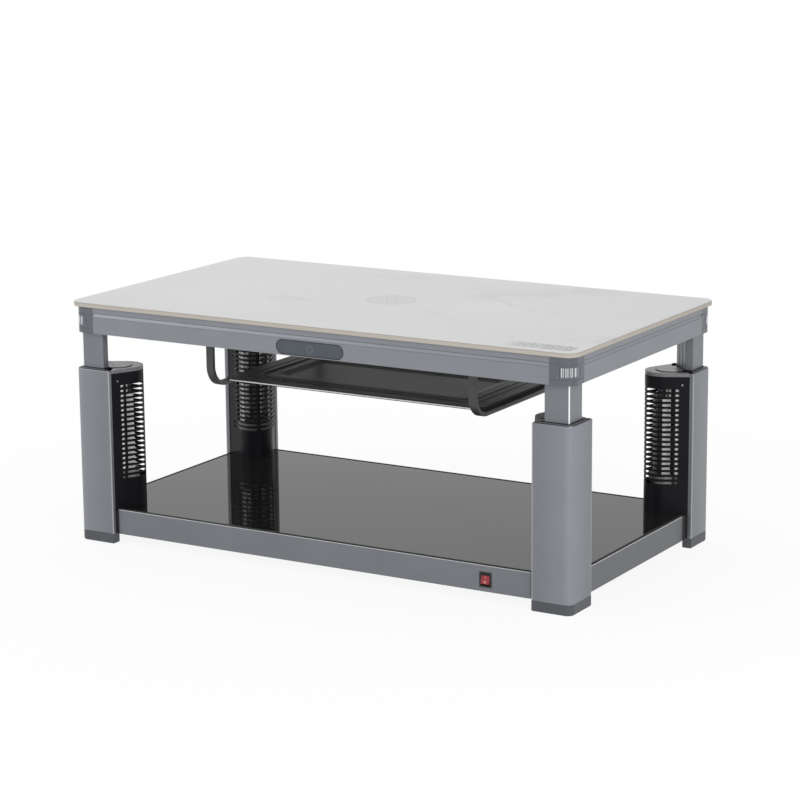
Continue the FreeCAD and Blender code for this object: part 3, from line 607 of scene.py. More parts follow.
def moulded(name, colour, roughness=0.5, bump=0.00006):
    """Moulded plastic with a fine spark-eroded texture."""
    finish = Finish(name, IOR=1.5)
    grain = finish.noise(900.0, 2.0, 0.6)
    cloud = finish.noise(14.0, 3.0)
    finish.colour(finish.mottled(cloud.step(0.3, 0.7), colour, 0.93, 1.07))
    finish.shine(grain * 0.12 + cloud * 0.08 + (roughness - 0.1))
    finish.relief(grain, bump)
    return finish.material


def painted(name, colour, roughness=0.4, specular=0.5):
    """Stoved paint with a light orange peel."""
    finish = Finish(name, IOR=1.5, Specular_IOR_Level=specular)
    cloud = finish.noise(11.0, 3.0)
    finish.colour(finish.mottled(cloud.step(0.3, 0.7), colour, 0.9, 1.1))
    finish.shine(cloud * 0.1 + (roughness - 0.05))
    finish.relief(finish.noise(420.0, 2.0), 0.00005)
    return finish.material


# Depths below the stone's face in metres, over which the glaze and the darker line under it end
GLAZE_DEPTHS, RIM_DEPTHS = (0.0022, 0.0012), (0.0034, 0.0028)


def sintered_stone(look):
    """Pale glazed slab with faint grey veins, its fired body at the edge, and a printed ring and band."""
    finish = Finish("sintered_stone", IOR=1.5)
    drift = finish.noise(2.2, 4.0, 0.55)
    swirl = finish.node("TexNoise", {"Vector": finish.place, "Scale": 2.6, "Detail": 4.0}, 1)
    slanted = finish.stretched((1.0, 2.4, 1.0), 35)
    warped = finish.node("VectorMath", {0: swirl, 1: (0.5, 0.5, 0.5), 2: slanted}, operation="MULTIPLY_ADD")
    wide = abs(finish.noise(1.5, 3.0, 0.5, warped) - 0.5)
    thin = abs(finish.noise(3.1, 5.0, 0.6, warped) - 0.52)
    patches = finish.noise(1.3, 2.0).step(0.44, 0.62)
    veins = (1 - wide.step(0.0, 0.045)) * patches * 0.55 + (1 - thin.step(0.0, 0.012)) * patches * 0.45
    glaze = finish.mottled(drift.step(0.3, 0.7), look.glaze, 0.975, 1.025)
    for share, ink in ((veins * 0.8, look.vein), (ring_print(finish, look) * 0.65, look.ink),
                       (band_print(finish, look) * 0.9, look.band)):
        glaze = finish.mix(share, glaze, ink)
    speckle = finish.noise(1500.0, 2.0, 0.6)
    body = finish.mottled(speckle.step(0.35, 0.65), look.body, 0.9, 1.08)
    glazed, rim = (finish.z.step(STONE_HIGH - low, STONE_HIGH - high)
                   for low, high in (GLAZE_DEPTHS, RIM_DEPTHS))
    finish.colour(finish.mix(glazed, finish.mix(rim * 0.7, body, look.rim), glaze))
    finish.shine((1 - glazed) * 0.3 + drift * 0.08 + 0.34)
    finish.relief(finish.noise(260.0, 3.0) + speckle * (1 - glazed), 0.00003)
    return finish.material


def ring_print(finish, look):
    """Ring of fine marks round the top's middle: circles, ticks and petals, in shares of its radius."""
    far = (finish.x * finish.x + finish.y * finish.y).maths("SQRT") / look.ring_radius
    turn = finish.y.maths("ARCTAN2", finish.x)

    def line(at, full, half):
        return 1 - abs(far - at).step(full, half)

    total = line(0.86, 0.033, 0.055) * ((turn * 48.0).maths("SINE") > 0.1)
    for start in (0, math.pi):
        total = total + line((turn * 8.0 + start).maths("COSINE") * 0.13 + 0.5, 0.02, 0.035)
    for at, half in ((0.98, 0.02), (0.74, 0.016), (0.2, 0.03)):
        total = total + line(at, 0.6 * half, half)
    return total.maths("MINIMUM", 1.0)


def band_print(finish, look):
    """Fine scattered flecks in a band near the front right corner."""
    along = (finish.x - look.band_x) / look.band_length
    across = (finish.y - look.band_y) / look.band_width
    inside = (abs(along) < 0.5) * (abs(across) < 0.5)
    flecks = finish.node("TexVoronoi", {"Vector": finish.stretched((1.0, 1.6, 1.0), 25), "Scale": 190.0})
    return inside * (1 - flecks.step(0.42, 0.62)) * (along + 0.5).step(0.0, 0.4)


# The rocker's marks in metres: height at which its black ends begin, height of a mark's middle from the
# rocker's, radius and half width of the ring, half width and half height of the bar
ROCKER_END, MARK_RISE = 0.00975, 0.0052
RING_RADIUS, RING_HALF, BAR_HALF, BAR_RISE = 0.0021, 0.00045, 0.0005, 0.0024


def rocker_plastic():
    """Red rocker with black ends, and a pale ring and bar for off and on."""
    finish = Finish("red_rocker", IOR=1.5, Roughness=0.25)
    low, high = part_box("switch_rocker")
    across = finish.x - (low.x + high.x) / 2
    rise = finish.z - (low.z + high.z) / 2
    red = finish.mix(finish.noise(60.0, 2.0), linear(146, 34, 36), linear(160, 42, 44))
    red = finish.mix(abs(rise) > ROCKER_END, red, linear(18, 18, 20))
    drop = rise + MARK_RISE
    ring = abs((across * across + drop * drop).maths("SQRT") - RING_RADIUS) < RING_HALF
    bar = (abs(across) < BAR_HALF) * (abs(rise - MARK_RISE) < BAR_RISE)
    finish.colour(finish.mix((ring + bar) * 0.75, red, linear(226, 214, 210)))
    return finish.material


def shelf_glass():
    """Black printed glass with a smooth face."""
    finish = Finish("black_shelf_glass", IOR=1.295, Specular_IOR_Level=0.42)
    haze = finish.noise(5.0, 3.0)
    finish.colour(finish.mix(haze.step(0.3, 0.7), (0.014, 0.013, 0.012), (0.019, 0.018, 0.017)))
    finish.shine(haze * 0.03 + 0.015)
    return finish.material


FINISHES = {}


def make_finishes(look):
    """One material for each of the record's slots, and for the pieces that differ from their slot."""
    # Height from which the rails carry a painted highlight
    line = RAIL_HIGH - HIGHLIGHT_DROP
    FINISHES.update(
        stone=sintered_stone(look),
        # The casings' coat carries painted highlights on its edges and corner, and painted light and shade
        # round the leg's outer corner
        light_profile=coated_metal("satin_profile", look.light_profile, painted_highlights=PAINTED_CASING_HIGHLIGHTS, painted_sheen=0.5),
        light_profile_x=coated_metal("satin_profile_along_x", look.light_profile, along="X"),
        light_profile_y=coated_metal("satin_profile_along_y", look.light_profile, along="Y"),
        dark_profile_x=coated_metal("rail_profile_along_x", look.dark_profile, along="X", painted_highlight_from=line),
        # The rails along Y take the rail colour darkened by painted shade, with the painted highlight along
        # their top edge
        dark_profile_y=coated_metal("rail_profile_along_y", tinted(look.dark_profile, 0.69), along="Y",
                                    painted_highlight_from=line),
        # The columns' coat carries a painted highlight along the column's outer corner edge
        column=coated_metal("column_coating", look.column, roughness=0.34, painted_highlights=PAINTED_COLUMN_HIGHLIGHT),
        frame_steel=painted("frame_paint", (0.03, 0.03, 0.033), 0.55),
        # The brackets' coat carries painted highlights on the walls of its flutes
        bracket=coated_metal("bracket_coating", look.bracket, 0.26, 0.5, flutes=True),
        cap_grey=moulded("cap_plastic", look.cap, 0.28),
        black_plastic=moulded("black_plastic", (0.018, 0.018, 0.019)),
        foot=moulded("foot_plastic", look.foot, 0.48),
        screw=coated_metal("screw_steel", (0.35, 0.35, 0.36), 0.3, 0.8),
        # Near-white coat that paints highlights on the reflectors' rolled edges and strips, and on the tray's
        # front hem
        hem=coated_metal("hem_steel", (0.9, 0.9, 0.9), 0.5, 0.1, along="X"),
        guard=painted("guard_paint", look.guard, specular=0.12),
        ceramic=moulded("ceramic", (0.22, 0.21, 0.20), 0.6),
        bright_sheet=coated_metal("bright_sheet", (0.85, 0.85, 0.83), 0.25, 0.9),
        quartz=moulded("quartz", linear(74, 66, 74), 0.2),
        gasket=moulded("black_gasket", linear(20, 20, 22), 0.55),
        mark=moulded("panel_mark", linear(128, 136, 145), 0.3, 0.00001),
        drive_steel=painted("drive_steel", (0.3, 0.31, 0.32)),
        glass_black=shelf_glass(),
        galvanised=coated_metal("galvanised_sheet", (0.42, 0.43, 0.44), 0.5, 0.6, along="X"),
        panel_gloss=moulded("panel_gloss", tinted(look.panel, 0.9), 0.22, 0.00001),
        red_plastic=rocker_plastic(),
        tray_dark=coated_metal("tray_coating", look.tray, 0.42, 0.1, along="X", specular=0.22),
        hanger_dark=painted("hanger_paint", look.hanger))


# Settings

def colour_setting(name, description, default):
    return FloatVectorProperty(name=name, description=description, subtype="COLOR", size=3, min=0, max=1,
                               default=default)


def length_setting(name, description, default):
    return FloatProperty(name=name, description=description, unit="LENGTH", default=default)


class LookSettings(bpy.types.PropertyGroup):
    """Colours of the table."""
    glaze: colour_setting("Stone glaze", "Colour of the top's glaze", linear(200, 200, 201))
    vein: colour_setting("Stone veins", "Colour of the top's veins", linear(172, 174, 176))
    rim: colour_setting("Stone rim", "Darker line under the glaze at the edge", linear(138, 122, 106))
    body: colour_setting("Stone body", "Colour of the slab's fired body at its edge", linear(186, 179, 169))
    ink: colour_setting("Ring print", "Ink of the ring in the middle of the top", linear(128, 130, 134))
    band: colour_setting("Band print", "Ink of the band near the corner", linear(98, 108, 102))
    ring_radius: length_setting("Ring radius", "Outer radius of the printed ring", 0.062)
    band_x: length_setting("Band X", "Middle of the printed band along X", 0.575)
    band_y: length_setting("Band Y", "Middle of the printed band along Y", -0.335)
    band_length: length_setting("Band length", "Length of the printed band", 0.19)
    band_width: length_setting("Band width", "Width of the printed band", 0.05)
    light_profile: colour_setting("Light profile", "Casings and aprons", linear(130, 133, 139))
    dark_profile: colour_setting("Dark profile", "Base rails", linear(116, 119, 124))
    column: colour_setting("Columns", "Inner columns", linear(118, 121, 126))
    bracket: colour_setting("Brackets", "Fluted corner brackets", linear(100, 104, 110))
    cap: colour_setting("Heater caps", "Caps on the heater guards", linear(120, 122, 125))
    foot: colour_setting("Feet", "Moulded feet", linear(76, 79, 84))
    guard: colour_setting("Heater guards", "Paint on the guards", linear(20, 19, 24))
    panel: colour_setting("Touch panel", "Face of the touch panel", linear(74, 81, 90))
    tray: colour_setting("Tray", "Coating on the tray", linear(44, 44, 45))
    hanger: colour_setting("Tray bars", "Paint on the bent bars", linear(66, 67, 70))


class GuardSettings(bpy.types.PropertyGroup):
    """Sizes of the heater guards."""
    nose_radius: length_setting("Nose radius", "Outer radius of a guard's nose", 0.0457)
    nose_centre: length_setting("Nose centre", "Nose's axis, inward from the leg's outer faces", 0.0858)
    wall: length_setting("Wall", "Thickness of the sheet", 0.0008)
    side: length_setting("Side", "Lip end of a flank, inward from the leg's outer face", 0.0995)
    lip: length_setting("Lip", "Tip of the casing's lip, inward from the leg's outer faces", 0.011)
    pitch: length_setting("Slot pitch", "Height from one row of slots to the next", 0.0121)
    slot: length_setting("Slot height", "Height of a slot", 0.006)
    drop: length_setting("First row", "Middle of the top row, below the guard's rim", 0.0335)
    rows: IntProperty(name="Rows", description="Rows of slots", default=20, min=1)
    steps: IntProperty(name="Steps", description="Faces round the nose", default=48, min=12)
    dot_from: length_setting("Hole start", "Start of the short hole, along the sheet from a lip", 0.0243)
    dot_to: length_setting("Hole end", "End of the short hole, along the sheet from a lip", 0.0334)
    slot_from: length_setting("Slot start", "Start of the long slot, along the sheet from a lip", 0.0374)
    bar: length_setting("Middle bar", "Width of the bar between the two long slots", 0.0086)
    screw_along: length_setting("Screw", "Screw's place along the sheet from a lip", 0.0173)
    screw_drop: length_setting("Screw drop", "Screw's place below the guard's rim", 0.020)
    disc_centre: length_setting("Plate centre", "Plate's axis, inward from the leg's outer faces", 0.0742)
    disc_radius: length_setting("Plate radius", "Radius of the round plate", 0.0347)
    gap: length_setting("Gap", "Gap round the plate", 0.0013)
    rise: length_setting("Rise", "Rise of the plate and the rib over the collar", 0.0006)
    # The next three sizes set the black ring that paints the shade of the gap round the column
    seal: length_setting("Seal", "Thickness of the seal round the column", 0.0013)
    seal_rise: length_setting("Seal rise", "Rise of the seal over the collar", 0.0022)
    seal_gap: length_setting("Seal gap", "Gap between the seal and the column", 0.0004)
    column_near: length_setting("Column near", "Column's outer face, inward from the leg's outer face",
                                0.0139)
    column_far: length_setting("Column far", "Column's inner face, inward from the leg's outer face", 0.0762)
    column_chamfer: length_setting("Column chamfer", "Leg of the column's cut inner corner", 0.043)
    collar_gap: length_setting("Column gap", "Gap between the column and the plate", 0.0026)
    rib_near: length_setting("Rib inset", "Outer side of the rib, inward from the leg's outer face", 0.0056)
    rib: length_setting("Rib", "Thickness of the rib round the column", 0.0036)
    rib_arm: length_setting("Rib arm", "End of the rib's arms, inward from the leg's outer face", 0.090)


class HeaterSettings(bpy.types.PropertyGroup):
    """Sizes of the heaters inside the guards."""
    tube_centre: length_setting("Tube centre", "Tube's axis, inward from the leg's outer faces", 0.089)
    tube_radius: length_setting("Tube radius", "Radius of the quartz tube", 0.010)
    hem_far: length_setting("Edge far", "Rolled edge's larger distance from the leg's outer faces", 0.112)
    hem_near: length_setting("Edge near", "Rolled edge's smaller distance from the leg's outer faces", 0.056)
    hem_radius: length_setting("Edge radius", "Radius of the reflector's rolled edge", 0.0017)
    wing_from: length_setting("Wing start", "Start of the reflector's wing, along the guard's sheet", 0.0200)
    wing_to: length_setting("Wing end", "End of the reflector's wing, along the guard's sheet", 0.0360)
    wing_behind: length_setting("Wing depth", "Wing's distance behind the guard's sheet", 0.0030)
    band_from: length_setting("Band start", "Start of the inner band, along the guard's sheet", 0.0450)
    band_to: length_setting("Band end", "End of the inner band, along the guard's sheet", 0.0640)
    band_behind: length_setting("Band depth", "Band's distance behind the guard's sheet", 0.0100)
    band_drop: length_setting("Band drop", "Band's upper end below the reflector's", 0.0280)


class GasketSettings(bpy.types.PropertyGroup):
    """Sizes of the black strips round the glass, which paint the shade of the gap at its edge."""
    width: length_setting("Width", "Width of a strip", 0.0045)
    height: length_setting("Height", "Rise of a strip over the glass", 0.0012)


class BracketSettings(bpy.types.PropertyGroup):
    """Sizes of the corner brackets."""
    arm: length_setting("Arm", "Length of each arm from the corner", 0.058)
    corner: length_setting("Corner", "Outer radius of the corner", 0.030)
    thick: length_setting("Thickness", "Depth of the bracket to the column", 0.0139)
    notch: length_setting("Notch width", "Width of the two level notches", 0.0014)
    notch_depth: length_setting("Notch depth", "Depth of the two level notches", 0.001)
    high_notch: length_setting("High notch", "Upper notch, below the stone", 0.0164)
    low_notch: length_setting("Low notch", "Lower notch, above the lower edge", 0.012)
    front_reach: length_setting("Front reach", "Flutes' start on the front, from the corner", 0.040)
    side_reach: length_setting("Side reach", "Flutes' end on the side, from the corner", 0.043)
    flute_rise: length_setting("Flute rise", "Foot of the flutes above the lower edge", 0.0156)
    flute_height: length_setting("Flute height", "Height of the flutes", 0.0281)
    flute_radius: length_setting("Flute radius", "Radius that a flute is cut with", 0.0047)
    flute_depth: length_setting("Flute depth", "Depth of a flute", 0.0018)
    flutes: IntProperty(name="Flutes", description="Number of flutes", default=7, min=1)
    steps: IntProperty(name="Steps", description="Steps round the corner", default=18, min=4)


class StageSettings(bpy.types.PropertyGroup):
    """Light, floor and camera."""
    surround: FloatProperty(name="Surround", description="Light from all round", default=0.45)
    key: FloatProperty(name="Key", description="Strength of the lamp on the right", unit="POWER", default=86)
    fill: FloatProperty(name="Fill", description="Strength of the lamp on the left", unit="POWER", default=44)
    top: FloatProperty(name="Top", description="Strength of the lamp overhead", unit="POWER", default=36)
    floor: colour_setting("Floor", "Colour of the floor", (0.9, 0.9, 0.9))


# Operators

class TABLE_OT_finishes(bpy.types.Operator):
    """Make the materials and give the CAD nodes theirs"""
    bl_idname = "table.finishes"
    bl_label = "Finishes"

    def execute(self, context):
        make_finishes(context.scene.table_look)
        slots = {row["node"]: row["material_slot"] for row in frame["record"]["subparts"]}
        special = {"feet": "foot"}
        for side, along in SIDES.items():
            special["apron_" + side] = "light_profile_" + along
            special["base_rail_" + side] = "dark_profile_" + along
        for node, piece in frame["nodes"].items():
            material = FINISHES[special.get(node, slots[node])]
            if not piece.material_slots:
                piece.data.materials.append(material)
            for place in piece.material_slots:
                place.material = material
        return {"FINISHED"}


class TABLE_OT_stone(bpy.types.Operator):
    """Model the stone slab with its round corners and eased edges"""
    bl_idname = "table.stone"
    bl_label = "Stone top"

    # Radius of the round corners, and widths of the eased edges
    CORNER, UPPER_EDGE, LOWER_EDGE = 0.03, 0.0018, 0.0012

    def execute(self, context):
        low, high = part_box("stone_top")
        slab = block("stone_slab", low, high)
        ease(slab, lambda edge: not is_level(edge), self.CORNER, 14)
        ease(slab, lambda edge: at_height(edge, high.z), self.UPPER_EDGE, 4)
        ease(slab, lambda edge: at_height(edge, low.z), self.LOWER_EDGE, 2)
        smooth(slab, 35)
        weigh_normals(slab)
        dress(slab, "table", "stone", ["stone_top"])
        return {"FINISHED"}


class TABLE_OT_guards(bpy.types.Operator):
    """Model one slotted heater guard along its outline and put a copy at each leg"""
    bl_idname = "table.guards"
    bl_label = "Heater guards"

    def execute(self, context):
        sizes = context.scene.table_guard
        first = GUARD_HIGH - sizes.drop
        sheet = self.row(sizes, first)
        apply_modifier(sheet, "ARRAY", count=sizes.rows, use_relative_offset=False, use_constant_offset=True,
                       constant_offset_displace=(0, 0, -sizes.pitch), use_merge_vertices=True,
                       merge_threshold=MERGE_REACH)
        low = first - (sizes.rows - 0.5) * sizes.pitch
        high = first + sizes.pitch / 2
        begin_edit(sheet)
        for level, reach in ((high, GUARD_HIGH - high), (low, GUARD_LOW - low)):
            choose(sheet, "edges", lambda edge: at_height(edge, level))
            extrude((0, 0, reach))
        end_edit()
        merge_points(sheet)
        face_out(sheet)
        apply_modifier(sheet, "SOLIDIFY", thickness=sizes.wall, offset=-1, use_even_offset=True)
        for guard in at_legs(sheet, "heater_guard"):
            dress(guard, "base", "guard", ["heater_guards"])
        return {"FINISHED"}

    def ends(self, sizes):
        """Ends of the openings on half a guard, along the sheet, each with the way into its opening."""
        return ((sizes.dot_from, 1), (sizes.dot_to, -1), (sizes.slot_from, 1),
                (guard_middle(sizes) - sizes.bar / 2, -1))

    def row(self, sizes, first):
        """One row of the sheet, opened at its holes and slots, whose ends are then rounded."""
        strip = guard_strip("guard_row", sizes, first - sizes.pitch / 2, first + sizes.pitch / 2)
        half = sizes.slot / 2
        begin_edit(strip)
        for level in (first - half, first, first + half):
            cut_through((0, 0, level), (0, 0, 1))
        for along, inward in self.ends(sizes):
            for cut in (along, along + inward * half):
                place, way = guard_point(cut, sizes)
                cut_through(place, way)
                cut_through(place.yxz, way.yxz)
        choose(strip, "faces", lambda face: self.is_open(middle(face), sizes, first))
        bpy.ops.mesh.delete(type="FACE")
        shift = half * (1 - math.sqrt(0.5))
        for along, inward in self.ends(sizes):
            place, way = guard_point(along, sizes)
            for spot, run in ((place, way), (place.yxz, way.yxz)):
                for side in (-1, 1):
                    corner = Vector((spot.x, spot.y, first + side * half))
                    choose(strip, "verts", lambda vert: (vert.co - corner).length < NEAR)
                    bpy.ops.transform.translate(value=shift * (inward * run - Vector((0, 0, side))))
        end_edit()
        return strip

    def is_open(self, place, sizes, first):
        """True for a place in an opening, found by its way along the sheet from the nearer lip."""
        tip, foot, turn = guard_flank(sizes)
        folded = Vector((max(place.x, place.y), min(place.x, place.y), 0))
        along = (folded - tip).dot((foot - tip).normalized())
        if along > (foot - tip).length:
            angle = math.atan2(folded.y - sizes.nose_centre, folded.x - sizes.nose_centre)
            along = (foot - tip).length + sizes.nose_radius * (angle - turn)
        stops = [stop for stop, inward in self.ends(sizes)]
        inside = stops[0] < along < stops[1] or stops[2] < along < stops[3]
        return inside and abs(place.z - first) < sizes.slot / 2


class TABLE_OT_caps(bpy.types.Operator):
    """Model the crescent caps, and the round plates, ribs and black rings at the columns; the rings paint the
    shade of the gaps round the columns
    """
    bl_idname = "table.caps"
    bl_label = "Caps and collars"

    # Widths of the eased edges
    CAP_EDGE, PLATE_EDGE, RIB_EDGE, SEAL_EDGE = 0.0012, 0.0006, 0.0005, 0.0004

    def execute(self, context):
        sizes = context.scene.table_guard
        for make, name, slot, finish, replaces in (
                (self.cap, "heater_cap", "cap_grey", "cap_grey", ["heater_caps"]),
                (self.plate, "collar_plate", "black_plastic", "cap_grey", ()),
                (self.rib, "collar_rib", "black_plastic", "cap_grey", ()),
                (self.seal, "column_seal", "black_plastic", "gasket", ())):
            for piece in at_legs(make(sizes), name):
                dress(piece, "base", finish, replaces)
        return {"FINISHED"}

    def seal(self, sizes):
        """Black ring round the column, which paints the shade of the gap round it."""
        low, high = COLLAR_HIGH - sizes.seal_rise, COLLAR_HIGH + sizes.seal_rise
        seal = column_room(sizes.seal_gap + sizes.seal, low, high)
        cut_away(seal, column_room(sizes.seal_gap, low - sizes.seal, high + sizes.seal))
        round_sharp(seal, self.SEAL_EDGE, degrees=40)
        return seal

    def disc(self, name, radius, low, high):
        centre = bpy.context.scene.table_guard.disc_centre
        return cylinder(name, 96, radius, low, high, centre, centre)

    def cap(self, sizes):
        """Guard's outline closed round the leg's corner, filled, and cut for the plate and the column."""
        cap = guard_strip("cap", sizes, GUARD_HIGH, CASING_HIGH)
        tip = guard_flank(sizes)[0]
        begin_edit(cap)
        choose(cap, "edges", lambda edge: stands_at(edge, tip.yxz))
        extrude((0, tip.y - tip.x, 0))
        extrude((tip.x - tip.y, 0, 0))
        end_edit()
        merge_points(cap)
        begin_edit(cap)
        for level in (GUARD_HIGH, CASING_HIGH):
            choose(cap, "edges", lambda edge: at_height(edge, level))
            bpy.ops.mesh.edge_face_add()
        end_edit()
        face_out(cap)
        low, high = GUARD_HIGH - sizes.lip, CASING_HIGH + sizes.lip
        cut_away(cap, self.disc("plate_room", sizes.disc_radius + sizes.gap, low, high))
        cut_away(cap, column_room(sizes.collar_gap, low, high))
        round_sharp(cap, self.CAP_EDGE, 3)
        return cap

    def plate(self, sizes):
        """Round plate between the cap and the column."""
        plate = self.disc("plate", sizes.disc_radius, GUARD_HIGH + sizes.rise, COLLAR_HIGH + sizes.rise)
        cut_away(plate, column_room(sizes.collar_gap, GUARD_HIGH, CASING_HIGH + sizes.lip))
        round_sharp(plate, self.PLATE_EDGE)
        return plate

    def rib(self, sizes):
        """Rib with two arms between the column and the casing's wall."""
        near, far = sizes.rib_near, sizes.rib_near + sizes.rib
        rib = block("rib", (near, near, GUARD_HIGH + sizes.rise), (far, far, COLLAR_HIGH + sizes.rise))
        begin_edit(rib)
        for way in (0, 1):
            choose(rib, "faces", lambda face: face.normal[way] > 0.9 and middle(face)[1 - way] < far)
            reach = [0, 0, 0]
            reach[way] = sizes.rib_arm - far
            extrude(reach)
        end_edit()
        ease(rib, lambda edge: stands_at(edge, Vector((near, near))), 0.9 * sizes.rib, 5)
        round_sharp(rib, self.RIB_EDGE)
        return rib


class TABLE_OT_heaters(bpy.types.Operator):
    """Model the quartz tubes, and the rolled edges and the strips of their reflectors, which carry painted
    highlights
    """
    bl_idname = "table.heaters"
    bl_label = "Heaters"

    # Thickness of the strips that carry painted highlights
    SHEET = 0.0005

    def execute(self, context):
        sizes = context.scene.table_heater
        low, high = (corner.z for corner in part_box("heating_tubes"))
        tube = self.rod("tube", sizes.tube_centre, sizes.tube_centre, sizes.tube_radius, low, high)
        for piece in at_legs(tube, "quartz_tube"):
            dress(piece, "base", "quartz", ["heating_tubes"])
        low, high = (corner.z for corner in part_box("heat_reflectors"))
        hems = [self.rod("hem", across, deep, sizes.hem_radius, low, high)
                for across, deep in ((sizes.hem_far, sizes.hem_near), (sizes.hem_near, sizes.hem_far))]
        # The rolled edges and the strips carry the near-white coat as painted highlights
        for piece in at_legs(join(hems, "hems"), "reflector_hem"):
            dress(piece, "base", "hem")
        bands = []
        wing = (sizes.wing_from, sizes.wing_to, sizes.wing_behind, 0)
        inner = (sizes.band_from, sizes.band_to, sizes.band_behind, sizes.band_drop)
        for start, stop, behind, drop_top in (wing, inner):
            for mirrored in (False, True):
                bands.append(self.band(start, stop, behind, mirrored, low, high - drop_top))
        for piece in at_legs(join(bands, "bands"), "reflector_band"):
            dress(piece, "base", "hem")
        return {"FINISHED"}

    def band(self, start, stop, behind, mirrored, low, high):
        """Folded strip a way behind a guard's flank, with a shallow crease along its middle, that carries a
        painted highlight.
        """
        guard = bpy.context.scene.table_guard
        near, way = guard_point(start, guard)
        far = guard_point(stop, guard)[0]
        inward = Vector((-way.y, way.x, 0))
        near, far = near + behind * inward, far + behind * inward
        if mirrored:
            near, far, inward = near.yxz, far.yxz, inward.yxz
        run, crease = far - near, (near + far) / 2
        band = upright("band", near, far, low, high)
        begin_edit(band)
        cut_through(crease, run)
        choose(band, "edges", lambda edge: stands_at(edge, crease))
        bpy.ops.transform.translate(value=0.15 * run.length * inward)
        end_edit()
        apply_modifier(band, "SOLIDIFY", thickness=self.SHEET, offset=0)
        return band

    def rod(self, name, across, deep, radius, low, high):
        """Upright rod with rounded ends."""
        rod = cylinder(name, 32, radius, low, high, across, deep)
        ease(rod, is_level, 0.4 * radius, 4)
        return rod


class TABLE_OT_gaskets(bpy.types.Operator):
    """Model the black strips round the glass, which paint the shade of the gap at its edge"""
    bl_idname = "table.gaskets"
    bl_label = "Glass strips"

    def execute(self, context):
        sizes = context.scene.table_gasket
        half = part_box("shelf_glass")[1]
        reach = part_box("leg_casing_rear_right")[0]
        strips = []
        for side in (-1, 1):
            strips.append(self.strip(sizes, "X", reach.x, side * half.y, -side, half.z))
            strips.append(self.strip(sizes, "Y", reach.y, side * half.x, -side, half.z))
        strips = join(strips, "glass_strips")
        smooth(strips, 50)
        dress(strips, "base", "gasket")
        return {"FINISHED"}

    def strip(self, sizes, along, reach, edge, inward, level):
        """Strip on the glass along one edge, with its upper edges rounded."""
        across = sorted((edge, edge + inward * sizes.width))
        low, high = level - 0.5 * sizes.height, level + sizes.height
        corners = ((-reach, across[0], low), (reach, across[1], high))
        if along == "Y":
            corners = tuple((y, x, z) for x, y, z in corners)
        strip = block("strip", *corners)
        ease(strip, lambda item: at_height(item, high), 0.4 * sizes.height, 3)
        return strip


class TABLE_OT_marks(bpy.types.Operator):
    """Model the touch panel's dark rim, its plain diamond and its two lamps"""
    bl_idname = "table.marks"
    bl_label = "Panel marks"

    # Rim's width, and how far it stands before and behind the panel's face
    RIM, RIM_BEFORE, RIM_BEHIND = 0.002, 0.00015, 0.001
    # Diamond's reach and line, lamp's radius, and its place from the panel's end and middle height
    DIAMOND, DIAMOND_LINE, LAMP, LAMP_INSET, LAMP_RISE = 0.0105, 0.0007, 0.0011, 0.011, 0.0055
    # How far a mark stands before the face, and as far behind it
    RISE = 0.0002

    def execute(self, context):
        low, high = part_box("control_panel")
        middle_x, middle_z, face = (low.x + high.x) / 2, (low.z + high.z) / 2, low.y
        dress(self.pill(low, high, face), "table", "gasket")
        diamond = self.mark(4, self.DIAMOND, (middle_x, face, middle_z))
        begin_edit(diamond)
        self.hollow(self.DIAMOND_LINE)
        dress(diamond, "table", "mark")
        inset = low.x + self.LAMP_INSET
        lamps = join([self.mark(20, self.LAMP, (inset, face, middle_z + side * self.LAMP_RISE))
                      for side in (-1, 1)], "panel_lamps")
        smooth(lamps, 40)
        dress(lamps, "table", "gasket")
        return {"FINISHED"}

    def hollow(self, border):
        """Open a flat plate through, except for a border round its outline, and leave edit mode."""
        choose(bpy.context.object, "faces", lambda item: abs(item.normal.y) > 0.9)
        bpy.ops.mesh.inset(thickness=border)
        bpy.ops.mesh.delete(type="FACE")
        choose(bpy.context.object, "edges", lambda edge: edge.is_boundary)
        bpy.ops.mesh.bridge_edge_loops()
        end_edit()
        face_out(bpy.context.object)

    def pill(self, low, high, face):
        """Thin raised rim along the panel's outline."""
        rim = block("panel_rim", (low.x, face - self.RIM_BEFORE, low.z),
                    (high.x, face + self.RIM_BEHIND, high.z))
        ease(rim, lambda edge: abs(run_of(edge).y) > 0.5, 0.499 * (high.z - low.z), 16)
        begin_edit(rim)
        self.hollow(self.RIM)
        smooth(rim, 35)
        return rim

    def mark(self, sides, radius, place):
        """Small flat mark that stands on the panel's face."""
        clear_selection()
        bpy.ops.mesh.primitive_cylinder_add(vertices=sides, radius=radius, depth=2 * self.RISE,
                                            location=place, rotation=(math.pi / 2, 0, 0))
        settle(bpy.context.object)
        mark = named("panel_mark")
        ease(mark, lambda edge: middle(edge).y < place[1] and abs(run_of(edge).y) < 0.5, 0.2 * self.RISE)
        return mark


